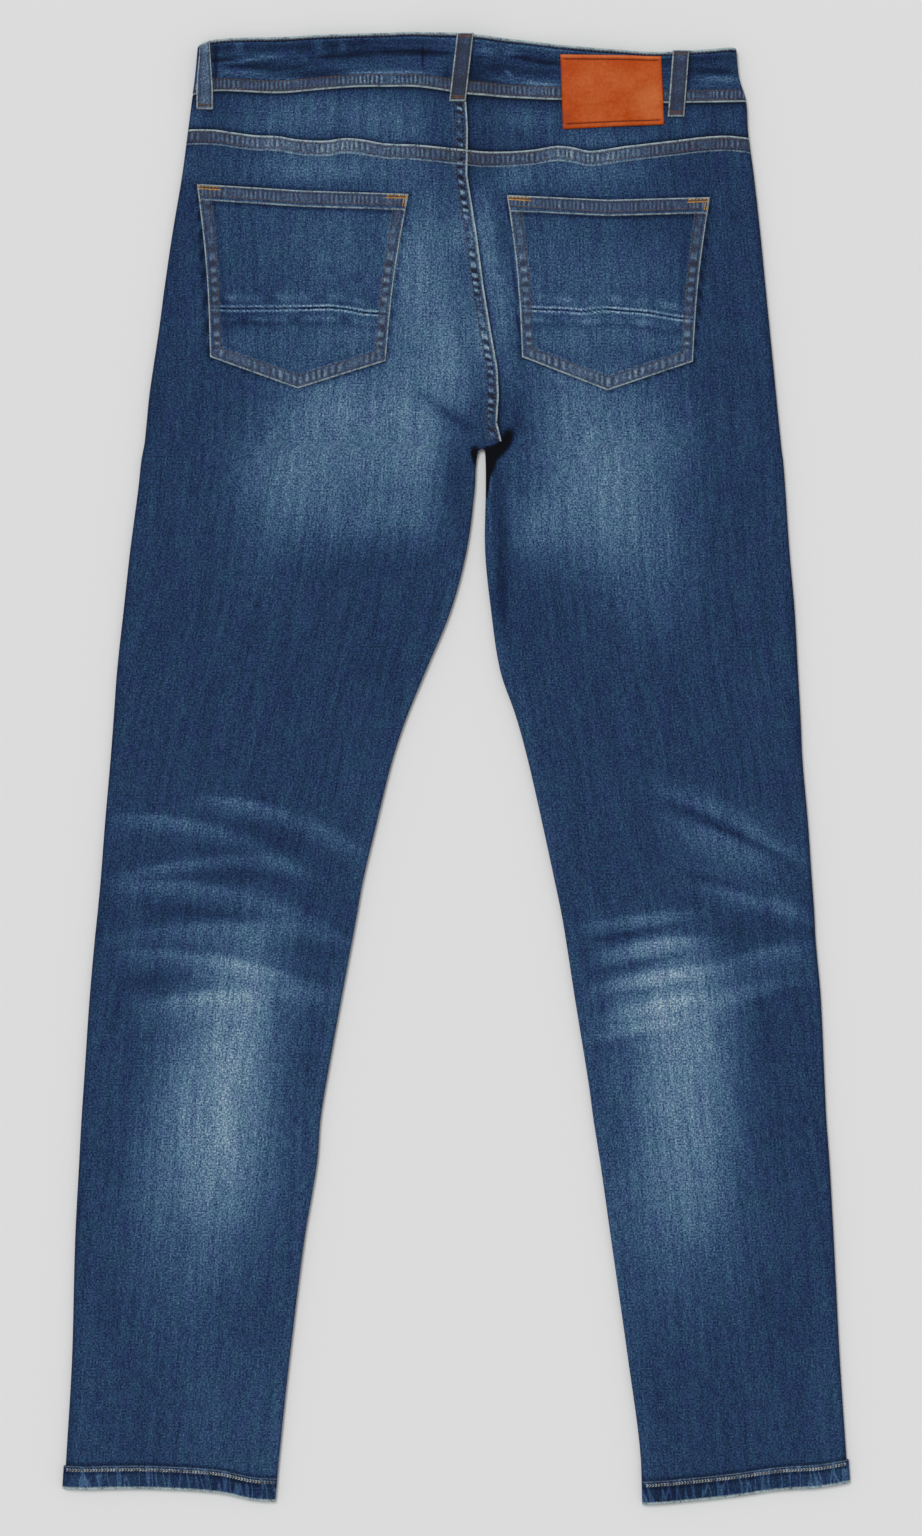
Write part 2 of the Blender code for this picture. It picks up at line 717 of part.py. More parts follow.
def back_places():
    """Share along the waistband's back of each station, in line with the yokes' columns."""
    x_right = outer_edge("right", WAIST_SIDE_LOW["right"]) - BAND_FOLD
    x_left = outer_edge("left", WAIST_SIDE_LOW["left"]) + BAND_FOLD
    places = {x_right}
    for side, y in WAIST_SIDE_LOW.items():
        columns = across_columns(outer_edge(side, y), inner_edge(side, CENTRE_HIGH_Y), SEAM_IN,
                                 MIDDLE_COLUMNS)
        places |= {x for x, _, _ in columns if x_left + 1.0 < x < x_right - 1.0}
    ordered = [x_right]
    for x in sorted(places, reverse=True):
        if ordered[-1] - x > 0.9:
            ordered.append(x)
    return [(x_right - x) / (x_right - x_left) for x in ordered]


def band_stations():
    """Places round the waistband: which run, and the share or the x along it."""
    stations = [("front right", x) for x in front_places("right")]
    stations += [("right turn", k / 6) for k in range(6)]
    stations += [("back", share) for share in back_places()]
    stations += [("left turn", k / 6) for k in range(7)]
    stations += [("front left", x) for x in front_places("left")]
    return stations


def band_side(side, up):
    """X of the side at a share of the waistband's depth."""
    return outer_edge(side, between(WAIST_SIDE_LOW[side], WAIST_SIDE_HIGH, up))


def band_pair(run, share, up):
    """Outer and inner point of the waistband at a place round it and a share of its depth."""
    if run == "back":
        x_right = band_side("right", up) - BAND_FOLD
        x_left = band_side("left", up) + BAND_FOLD
        x = between(x_right, x_left, share)
        y = between(waist_line(x, "bottom"), waist_line(x, "top"), up)
        face = BAND_TOP + surface_raise(x, y) + underlap_raise(x, y)
        return (x, y, face), (x, y, face - BAND_THICK)
    if run in ("right turn", "left turn"):
        side = run.split()[0]
        way = INWARD[side]
        edge = band_side(side, up)
        angle = math.pi * share if side == "right" else math.pi * (1.0 - share)
        middle = BAND_TOP / 2
        reach = 1.0 - math.sin(angle)
        z_outer = middle - math.cos(angle) * middle
        z_inner = middle - math.cos(angle) * (middle - BAND_THICK)
        x_outer = edge + way * BAND_FOLD * reach
        x_inner = edge + way * (BAND_THICK + (BAND_FOLD - BAND_THICK) * reach)
        y_front = between(front_waist(x_outer, "bottom"), front_waist(x_outer, "top"), up)
        y_back = between(waist_line(x_outer, "bottom"), waist_line(x_outer, "top"), up)
        y = between(y_front, y_back, (1.0 - math.cos(angle)) / 2)
        return (x_outer, y, z_outer), (x_inner, y, z_inner)
    centre = centre_front(BELOW_WAIST)
    x = share
    y = between(front_waist(x, "bottom"), front_waist(x, "top"), up)
    face = surface_raise(x, y)
    if run == "front right":
        past = x - centre - OVERLAP - LAP_STEP
        face += (BAND_THICK + BAND_GAP) * (1.0 - ease(past / LAP_STEP_SLOPE))
    return (x, y, face), (x, y, face + BAND_THICK)


def make_waistband(material):
    outer = []
    inner = []
    for up in BAND_ROWS:
        pairs = [band_pair(run, share, up) for run, share in band_stations()]
        outer.append([pair[0] for pair in pairs])
        inner.append([pair[1] for pair in pairs])
    return solid_sheet("waistband", outer, inner, material)


def trees_of(objects):
    """Search trees of the objects' surfaces, for resting the next piece on them."""
    trees = []
    for obj in objects:
        mesh = bmesh.new()
        mesh.from_mesh(obj.data)
        trees.append(BVHTree.FromBMesh(mesh))
        mesh.free()
    return trees


def resting_height(trees, x, y, spread):
    """Height of the highest cloth at a place and close round it."""
    best = 0.0
    for k in range(9):
        angle = math.tau * k / 8
        radius = spread if k < 8 else 0.0
        start = Vector((x + radius * math.cos(angle), y + radius * math.sin(angle), 60.0)) * MM
        for tree in trees:
            hit = tree.ray_cast(start, Vector((0.0, 0.0, -1.0)))
            if hit[0] is not None:
                best = max(best, hit[0].z / MM)
    return best


def make_back_pocket(pocket, trees, material):
    across = [0.0, POCKET_TURN, POCKET_TURN + 1.2]
    down = [0.0, POCKET_HEM, POCKET_HEM + 1.0]
    outer = []
    inner = []
    width = pocket.x_tr - pocket.x_tl
    depth = pocket.y_top - pocket.y_tip
    press = (pocket.y_top - POCKET_PRESS_Y) / depth
    half = PRESS_WIDTH / 2 / depth
    shares_down = [d / depth for d in down] + [0.28, 0.45, press - half, press, press + half]
    shares_down += [0.78, 1.0 - (POCKET_TURN + 1.2) / depth, 1.0 - POCKET_TURN / depth, 1.0]
    shares_across = [d / width for d in across] + [0.28, 0.5, 0.72]
    shares_across += [1.0 - d / width for d in reversed(across)]
    for v in shares_down:
        outer_row = []
        inner_row = []
        for u in shares_across:
            if u < 0.5:
                y_high = between(pocket.y_tl, pocket.y_top, u / 0.5)
                y_low = between(pocket.y_bl, pocket.y_tip, u / 0.5)
            else:
                y_high = between(pocket.y_top, pocket.y_tr, (u - 0.5) / 0.5)
                y_low = between(pocket.y_tip, pocket.y_br, (u - 0.5) / 0.5)
            y = between(y_high, y_low, v)
            curve = POCKET_WAIST * math.sin(math.pi * v)
            x_left = between(pocket.x_tl, pocket.x_bl, v) + curve
            x_right = between(pocket.x_tr, pocket.x_br, v) - curve
            x = between(x_left, x_right, u)
            base = resting_height(trees, x, y, 5.0) + LAY_GAP
            lift = 0.0
            near_side = min(u, 1.0 - u) * width < POCKET_TURN + 0.1
            if near_side or (1.0 - v) * depth < POCKET_TURN + 0.1:
                lift = POCKET_EDGE_LIFT
            if v * depth < POCKET_HEM + 0.1:
                lift = POCKET_HEM_LIFT
            if abs(v - press) < 1e-6 and not near_side:
                lift -= PRESS_DEPTH
            outer_row.append((x, y, base + CLOTH + lift))
            inner_row.append((x, y, base))
        outer.append(outer_row)
        inner.append(inner_row)
    return solid_sheet(pocket.name, outer, inner, material)


def loop_profile(share, length):
    """Lift of a loop's lower face and its thickness at a share of its length."""
    from_end = min(share, 1.0 - share) * length
    if from_end < LOOP_END + 0.1:
        return 0.0, LOOP_THICK + LOOP_END_LIFT
    return LOOP_EASE * bump(share - 0.5, 0.12, 0.24), LOOP_THICK


def loop_shares(length):
    ends = LOOP_END / length
    step = 1.0 / length
    return [0.0, ends, ends + step, 0.5, 1.0 - ends - step, 1.0 - ends, 1.0]


def make_back_loop(loop, trees, material):
    length = loop.y_top - loop.y_bottom
    outer = []
    inner = []
    for share in loop_shares(length):
        x_mid = between(loop.x_top, loop.x_bottom, share)
        y = between(loop.y_top, loop.y_bottom, share)
        lift, thick = loop_profile(share, length)
        bases = []
        for side in (-1.0, 0.0, 1.0):
            bases.append(resting_height(trees, x_mid + side * LOOP_WIDTH / 2, y, 3.0))
        base = max(bases) + LAY_GAP + lift
        columns = [x_mid + side * LOOP_WIDTH / 2 for side in (-1.0, 0.0, 1.0)]
        outer.append([(x, y, base + thick) for x in columns])
        inner.append([(x, y, base) for x in columns])
    return solid_sheet(loop.name, outer, inner, material)


def make_front_loop(name, x_mid, material):
    top = front_waist(x_mid, "top") - 1.0
    bottom = front_waist(x_mid, "bottom") - LOOP_DROP
    columns = [x_mid + side * LOOP_WIDTH / 2 for side in (-1.0, 0.0, 1.0)]
    outer = []
    inner = []
    for share in (0.0, 0.25, 0.5, 0.75, 1.0):
        y = between(top, bottom, share)
        outer.append([(x, y, 0.0) for x in columns])
        inner.append([(x, y, LOOP_THICK) for x in columns])
    return solid_sheet(name, outer, inner, material)


def make_patch(trees, material):
    corners = PATCH_CORNERS
    height = corners["top_left"][1] - corners["bottom_left"][1]
    groove = PATCH_INSET / height
    narrow = 0.7 / height
    down = [0.0, groove - narrow, groove, groove + narrow, 0.36, 0.52, 0.66, 0.8]
    down += [1.0 - groove - narrow, 1.0 - groove, 1.0 - groove + narrow, 1.0]
    outer = []
    inner = []
    for v in down:
        left = Vector(corners["top_left"]).lerp(Vector(corners["bottom_left"]), v)
        right = Vector(corners["top_right"]).lerp(Vector(corners["bottom_right"]), v)
        outer_row = []
        inner_row = []
        for u in (0.0, 0.2, 0.4, 0.6, 0.8, 1.0):
            spot = left.lerp(right, u)
            base = resting_height(trees, spot.x, spot.y, 4.5) + LAY_GAP
            in_groove = abs(v - groove) < 1e-6 or abs(v - 1.0 + groove) < 1e-6
            face = base + PATCH_THICK - (PATCH_GROOVE if in_groove else 0.0)
            outer_row.append((spot.x, spot.y, face))
            inner_row.append((spot.x, spot.y, base))
        outer.append(outer_row)
        inner.append(inner_row)
    return solid_sheet("patch", outer, inner, material)


def make_button(material):
    """The waist button: a dished disc with a raised rim, its face to the surface."""
    profile = [
        (0.0, BUTTON_THICK),
        (BUTTON_RADIUS - 0.9, BUTTON_THICK),
        (BUTTON_RADIUS, BUTTON_THICK - 0.9),
        (BUTTON_RADIUS, 0.6),
        (BUTTON_RADIUS - 0.6, 0.0),
        (BUTTON_RADIUS - BUTTON_RIM, 0.0),
        (BUTTON_RADIUS - BUTTON_RIM - 0.7, BUTTON_DISH),
        (0.0, BUTTON_DISH),
    ]
    mesh = bmesh.new()
    points = [mesh.verts.new(Vector((radius, 0.0, z)) * MM) for radius, z in profile]
    edges = [mesh.edges.new(pair) for pair in zip(points, points[1:])]
    bmesh.ops.spin(mesh, geom=points + edges, cent=(0.0, 0.0, 0.0), axis=(0.0, 0.0, 1.0),
                   angle=math.tau, steps=24, use_merge=True)
    bmesh.ops.remove_doubles(mesh, verts=mesh.verts, dist=1e-6)
    bmesh.ops.recalc_face_normals(mesh, faces=mesh.faces)
    data = bpy.data.meshes.new("button")
    mesh.to_mesh(data)
    mesh.free()
    data.materials.append(material)
    data.shade_smooth()
    data.set_sharp_from_angle(angle=math.radians(35.0))
    obj = bpy.data.objects.new("button", data)
    obj.location = Vector((BUTTON_X, button_y(), 0.0)) * MM
    bpy.context.scene.collection.objects.link(obj)
    return obj


def main():
    clear_scene()
    denim = make_material("denim", DENIM_BLUE, 0.9)
    reverse = make_material("denim_reverse", DENIM_REVERSE, 0.92)
    leather = make_material("leather", LEATHER_TAN, 0.5)
    metal = make_material("button_metal", AGED_METAL, 0.4, 1.0)
    backs = [make_back(side, denim) for side in ("left", "right")]
    yokes = [make_yoke(side, denim) for side in ("left", "right")]
    for side in ("left", "right"):
        make_front(side, denim)
        make_facing(side, denim)
    band = make_waistband(denim)
    upper = trees_of(backs + yokes + [band])
    for pocket in POCKETS:
        make_back_pocket(pocket, upper, denim)
    for loop in BACK_LOOPS:
        make_back_loop(loop, upper, denim)
    for name, loop_x in FRONT_LOOP_X.items():
        make_front_loop(name, loop_x, denim)
    make_patch(upper, leather)
    make_button(metal)
    for obj in bpy.data.objects:
        if len(obj.data.materials) == 1 and obj.data.materials[0] == denim:
            obj.data.materials.append(reverse)


main()
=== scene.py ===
"""Slim fit jeans laid flat on their front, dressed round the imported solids."""

import math
from collections import namedtuple
from functools import partial

import bmesh
import bpy
import numpy as np
from mathutils import Matrix, Vector
from mathutils.bvhtree import BVHTree


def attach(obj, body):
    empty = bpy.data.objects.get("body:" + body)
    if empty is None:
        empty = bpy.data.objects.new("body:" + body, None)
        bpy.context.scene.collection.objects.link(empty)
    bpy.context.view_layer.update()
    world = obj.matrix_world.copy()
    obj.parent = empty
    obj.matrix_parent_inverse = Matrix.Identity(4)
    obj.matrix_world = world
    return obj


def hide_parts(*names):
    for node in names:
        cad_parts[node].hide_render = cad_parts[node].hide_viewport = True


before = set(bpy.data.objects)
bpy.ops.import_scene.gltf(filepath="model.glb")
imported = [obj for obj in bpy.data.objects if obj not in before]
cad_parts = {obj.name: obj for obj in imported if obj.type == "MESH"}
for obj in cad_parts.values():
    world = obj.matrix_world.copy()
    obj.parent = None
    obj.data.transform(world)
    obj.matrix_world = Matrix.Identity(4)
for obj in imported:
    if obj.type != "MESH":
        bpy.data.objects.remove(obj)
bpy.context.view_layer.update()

# ---------------------------------------------------------------------------------------------
# Table top, light and camera. The jeans lie on a plain pale board and are seen from straight
# above, with one broad lamp high on the upper left and an even pale surround.

scene = bpy.context.scene
scene.view_settings.view_transform = "Standard"


def placed(name, shape):
    """The scene's object made from a bmesh, which is used up."""
    data = bpy.data.meshes.new(name)
    shape.to_mesh(data)
    shape.free()
    piece = bpy.data.objects.new(name, data)
    scene.collection.objects.link(piece)
    return piece


def new_finish(name, **settings):
    """A material with its node tree and its shader; a setting's underscore is a space."""
    finish = bpy.data.materials.new(name)
    finish.use_nodes = True
    shader = finish.node_tree.nodes["Principled BSDF"]
    for setting, value in settings.items():
        shader.inputs[setting.replace("_", " ")].default_value = value
    return finish, finish.node_tree, shader


board_shape = bmesh.new()
bmesh.ops.create_grid(board_shape, x_segments=2, y_segments=2, size=6.0)
bmesh.ops.translate(board_shape, verts=board_shape.verts, vec=(0.0, 0.0, -0.0006))
board = placed("board", board_shape)
board.data.materials.append(new_finish("pale_board", Base_Color=(0.772, 0.77, 0.772, 1.0),
                                       Roughness=0.95, Specular_IOR_Level=0.1)[0])

surround = bpy.data.worlds.new("surround")
surround.use_nodes = True
surround.node_tree.nodes["Background"].inputs["Color"].default_value = (1.0, 1.0, 1.0, 1.0)
surround.node_tree.nodes["Background"].inputs["Strength"].default_value = 0.5
scene.world = surround

lamp_data = bpy.data.lights.new("window_lamp", "SUN")
lamp_data.energy = 1.5
lamp_data.angle = math.radians(22.0)
lamp = bpy.data.objects.new("window_lamp", lamp_data)
lamp.rotation_euler = Vector((-0.3, 0.38, 1.0)).to_track_quat("Z", "Y").to_euler()
scene.collection.objects.link(lamp)

PIXEL = 0.00076  # metres of the table that one pixel of the picture takes in
LENS = 85.0
SENSOR = 36.0
PICTURE_HIGH = 1536
camera_data = bpy.data.cameras.new("camera")
camera_data.lens = LENS
camera_data.sensor_width = SENSOR
camera_data.clip_end = 20.0
camera = bpy.data.objects.new("camera", camera_data)
camera.location = (0.0042, 0.0008, 0.006 + LENS / SENSOR * PICTURE_HIGH * PIXEL)
scene.collection.objects.link(camera)
scene.camera = camera

# ---------------------------------------------------------------------------------------------
# Back leg panels. Each is one long piece of indigo twill, the left lapped and felled over the
# right down the seat, both felled over the yoke, with the hem turned up twice and chain sewn.
# Sizes are millimetres until a mesh is made.

MM = 0.001  # metres in a millimetre
CLOTH = 1.2
FOLD = 4.0
FELL_WIDTH = 10.8
FELL_LIFT = 0.9
HEM_HEIGHT = 17.4
HEM_ROW = 14.8  # how far above the edge the chain stitch runs
HEM_LIFT = 0.6
HEM_THICK = 2.4
HEM_FLARE = 1.6
HEM_TOP = 22.0  # up to here the rows of points follow the hem's edge
HEM_LEVEL = -500.0  # and from here up they are level
ROWS = (2.2, 9.1)  # the two rows of stitches, across the band of each seam
HEM_ROW_SCALE = ROWS[1] / HEM_ROW
FAR = 40.0  # what a mark says where no seam is near
PLAIN = 30.0  # what a mark says where no edge is near
CROTCH_Y = 243.0
CROTCH_DROP = 9.0
SEAT_FOOT = 248.5  # where the seat's felled seam ends, just above the crotch

Level = namedtuple("Level", "y left_outer left_inner right_inner right_outer height")
LEVELS = [Level(*row) for row in (
    (-560.0, -298.4, -137.4, 142.0, 300.0, 5.6),
    (-517.5, -295.8, -133.6, 140.4, 297.0, 5.6),
    (-449.0, -291.8, -126.3, 131.3, 292.4, 5.8),
    (-358.0, -289.4, -115.0, 118.4, 287.8, 5.8),
    (-300.0, -286.4, -105.4, 110.2, 284.6, 5.8),
    (-267.0, -284.6, -102.8, 105.0, 282.2, 5.8),
    (-240.0, -282.8, -98.6, 101.4, 280.9, 5.8),
    (-175.5, -278.5, -87.0, 91.0, 278.0, 5.9),
    (-130.0, -274.5, -78.5, 84.0, 274.0, 6.1),
    (-110.0, -272.4, -74.9, 80.6, 273.0, 6.2),
    (-84.5, -270.0, -70.4, 75.3, 271.2, 6.2),
    (-39.0, -266.5, -59.5, 65.5, 268.0, 6.1),
    (7.0, -262.5, -48.0, 55.0, 264.0, 6.0),
    (40.0, -260.0, -37.0, 46.0, 262.5, 6.0),
    (75.0, -257.5, -22.5, 34.0, 260.5, 6.0),
    (121.0, -252.5, -3.5, 27.0, 258.0, 6.1),
    (166.5, -247.5, 8.5, 22.5, 254.0, 6.2),
    (212.0, -241.5, 14.5, 23.0, 251.0, 6.2),
    (235.0, -239.0, 15.8, 22.9, 249.2, 6.2),
    (243.0, -237.5, 18.0, 22.2, 248.0, 6.2),
)]
Hip = namedtuple("Hip", "y left_outer seat_seam right_outer height")
HIPS = [Hip(*row) for row in (
    (243.0, -237.5, 20.0, 248.0, 6.2),
    (248.5, -236.5, 35.2, 247.5, 6.2),
    (263.5, -235.0, 31.6, 246.0, 6.2),
    (284.0, -233.0, 33.0, 244.0, 6.2),
    (305.0, -230.0, 32.0, 242.0, 6.2),
    (335.0, -225.5, 26.6, 239.0, 6.2),
    (365.5, -221.5, 21.6, 236.0, 6.2),
    (406.5, -215.5, 16.2, 232.0, 6.3),
    (451.5, -208.0, 9.0, 227.0, 6.4),
    (485.5, -203.5, 9.5, 222.5, 6.6),
    (508.5, -200.5, 8.0, 221.0, 6.7),
    (527.5, -198.0, 8.0, 215.5, 6.8),
    (560.0, -195.0, 7.5, 213.0, 6.8),
)]
Waist = namedtuple("Waist", "x top bottom")
WAIST = [Waist(*row) for row in (
    (-204.0, 548.0, 511.5), (-180.5, 554.6, 515.0), (-133.5, 556.3, 513.5), (-78.5, 558.5, 517.5),
    (-42.0, 559.7, 518.3), (-19.5, 559.3, 516.5), (7.0, 557.9, 511.7), (50.5, 554.0, 509.5),
    (85.5, 549.5, 508.0), (110.0, 547.4, 507.5), (151.0, 545.0, 506.0), (190.0, 546.8, 506.4),
    (207.0, 548.2, 506.6), (225.0, 548.2, 507.0),
)]
YokeSeam = namedtuple("YokeSeam", "x y")
YOKE_SEAM = [YokeSeam(*row) for row in (
    (-204.5, 486.0), (-184.0, 485.8), (-168.0, 483.6), (-152.0, 481.5), (-134.0, 480.8),
    (-124.0, 478.8), (-112.0, 477.4), (-98.0, 477.1), (-84.0, 478.9), (-70.0, 477.9),
    (-54.0, 475.4), (-29.0, 474.1), (7.0, 470.4), (22.0, 468.9), (42.0, 469.2), (60.0, 470.7),
    (76.0, 473.3), (88.0, 472.3), (101.0, 469.6), (112.0, 470.4), (130.0, 473.2), (169.5, 478.0),
    (190.0, 480.4), (207.0, 481.1), (226.0, 479.2),
)]
HemPoint = namedtuple("HemPoint", "x y")
INWARD = {"left": 1.0, "right": -1.0}  # the way along X from each side to the middle
HEM = {
    "left": [HemPoint(*row) for row in (
        (-299.0, -547.3), (-280.0, -547.8), (-262.5, -547.4), (-240.0, -547.2), (-221.0, -547.9),
        (-200.0, -548.9), (-177.5, -551.0), (-155.0, -555.9), (-135.5, -557.4))],
    "right": [HemPoint(*row) for row in (
        (141.0, -559.6), (160.0, -558.5), (177.5, -556.9), (200.0, -554.7), (218.5, -552.4),
        (236.0, -549.7), (254.0, -547.8), (275.0, -546.6), (299.0, -542.6))],
}

# A fold or whisker: three points, its depth (a ridge is negative), its width and how much paler its cloth
# is:
# positive where it has faded, negative where painted shade darkens a trough or painted shadow lies beside a
# raised part.
Crease = namedtuple("Crease", "x1 y1 x2 y2 x3 y3 depth width paler")
BACK_CREASES = [Crease(*row) for row in (
    (26, 449, 35, 401, 43, 356, 0.8, 5, -0.12),
    (43, 356, 50, 315, 51, 284, 1.1, 5, -0.15),
    (51, 284, 48, 261, 40, 251, 1.2, 5, -0.2),
    # These rows, paler from -1.4 to -3.0, paint the near-black shadow in the hollow of the crotch.
    (41, 255, 38, 248, 32, 240, 1.4, 2.7, -3.0),
    (32, 242, 27.5, 236, 25.5, 226, 0.9, 2.6, -3.0),
    (26, 228, 24.2, 219, 23, 208, 0.4, 1.4, -2.2),
    (24.6, 243, 25.2, 236, 25, 228, 0.4, 2.0, -3.0),
    (27, 243, 30, 244, 35, 247.5, 0.3, 1.8, -1.4),
    (32, 226, 35, 178, 35, 99, 0.7, 5, -0.2),
    (-28, 286, -6, 270, 12, 258, 0.8, 3.8, -0.36),
    # Painted shadow at the left leg's edge beside the crotch.
    (14.5, 244, 14.2, 240, 15.8, 233, 0.6, 1.7, -2.5),
    (36, 440, 49, 394, 60, 334, -0.3, 5, 0.14),
    (39, 490, 49, 482, 63, 473, 0.35, 2.5, -0.06),
    (28.5, 230, 26.5, 220, 25.5, 206, -0.2, 1.0, 0.5),
    (25.5, 206, 26, 196, 27, 180, -0.2, 1.0, 0.3),
    (79, 269, 125, 261, 171, 273, 0.25, 4, -0.06),
    (-156, 284, -95, 277, -35, 287, 0.25, 4, -0.06),
    (-164, 159, -95, 147, -19, 159, 0.2, 5, -0.04),
)]

# A whisker that wear has bleached across a knee: three points, how far it spreads above and
# below the curve through them, and how much paler it is. The last ones are dark creases.
Whisker = namedtuple("Whisker", "x1 y1 x2 y2 x3 y3 above below paler")
WHISKER_RISE = 0.8  # height of the ridge under a whisker for each part that it is paler
BACK_WHISKERS = [Whisker(*row) for row in (
    (-202, -22, -163, -25, -118, -38, 2.5, 9, 0.34),
    (-136, -31, -98, -47, -62, -69, 4, 10, 0.24),
    (-266, -38, -209, -39, -156, -56, 2.4, 10, 0.32),
    (-172, -50, -138, -64, -106, -78, 2.6, 8, 0.15),
    (-268, -85, -216, -73, -154, -68, 2.4, 7, 0.3),
    (-168, -68, -134, -71, -104, -86, 3, 8, 0.22),
    (-268, -89, -206, -88, -144, -99, 2.4, 10, 0.29),
    (-156, -96, -118, -110, -76, -131, 2.6, 9, 0.13),
    (-270, -128, -208, -121, -140, -119, 3, 10, 0.24),
    (-158, -119, -114, -120, -74, -136, 2.6, 8, 0.13),
    (-264, -139, -200, -141, -150, -150, 2.4, 11, 0.28),
    (-190, -142, -150, -151, -98, -166, 2.6, 13, 0.36),
    (-244, -181, -196, -172, -134, -171, 2.6, 14, 0.4),
    (-142, -168, -112, -169, -82, -168, 3, 12, 0.18),
    (146, -15, 190, -29, 238, -54, 10, 4, 0.27),
    (214, -42, 246, -60, 276, -75, 7, 5, 0.19),
    (154, -35, 200, -50, 248, -75, 2.5, 19, 0.25),
    (186, -88, 222, -98, 262, -110, 8, 7, 0.3),
    (236, -102, 260, -110, 278, -119, 8, 7, 0.19),
    (90, -121, 142, -112, 194, -109, 1.8, 9, 0.32),
    (102, -143, 152, -131, 200, -129, 1.8, 12, 0.46),
    (96, -168, 146, -156.5, 214, -149.5, 1.8, 12, 0.44),
    (98, -191, 150, -177, 218, -167, 1.8, 12, 0.3),
    (196, -151, 234, -138, 278, -133, 2.4, 15, 0.28),
    (206, -174, 240, -165, 280, -162, 8, 3, 0.15),
    (102, -208, 132, -201, 172, -192, 14, 2, 0.3),
    (186, -188, 214, -177, 246, -168, 12, 2, 0.2),
    (-180, -37, -146, -49, -118, -63, 6, 6, -0.08),
    (-208, -80, -166, -79, -118, -89, 5, 6, -0.14),
    (-242, -107, -184, -110, -128, -117, 6, 5, -0.14),
    (-148, -136, -116, -137, -84, -147, 5, 6, -0.1),
    (-256, -163, -224, -161, -200, -160, 7, 6, -0.12),
    (158, -23, 206, -46, 266, -75, 2.6, 2.6, -0.17),
    (164, -77, 198, -85, 240, -99, 3, 3.5, -0.24),
    (88, -131, 146, -123, 192, -112, 2.2, 2.2, -0.28),
    (100, -155, 144, -147, 184, -138, 2.6, 3.2, -0.33),
    (106, -174, 146, -168, 186, -160, 2.4, 3.0, -0.26),
    (110, -193, 150, -189, 196, -180, 2, 3, -0.2),
)]

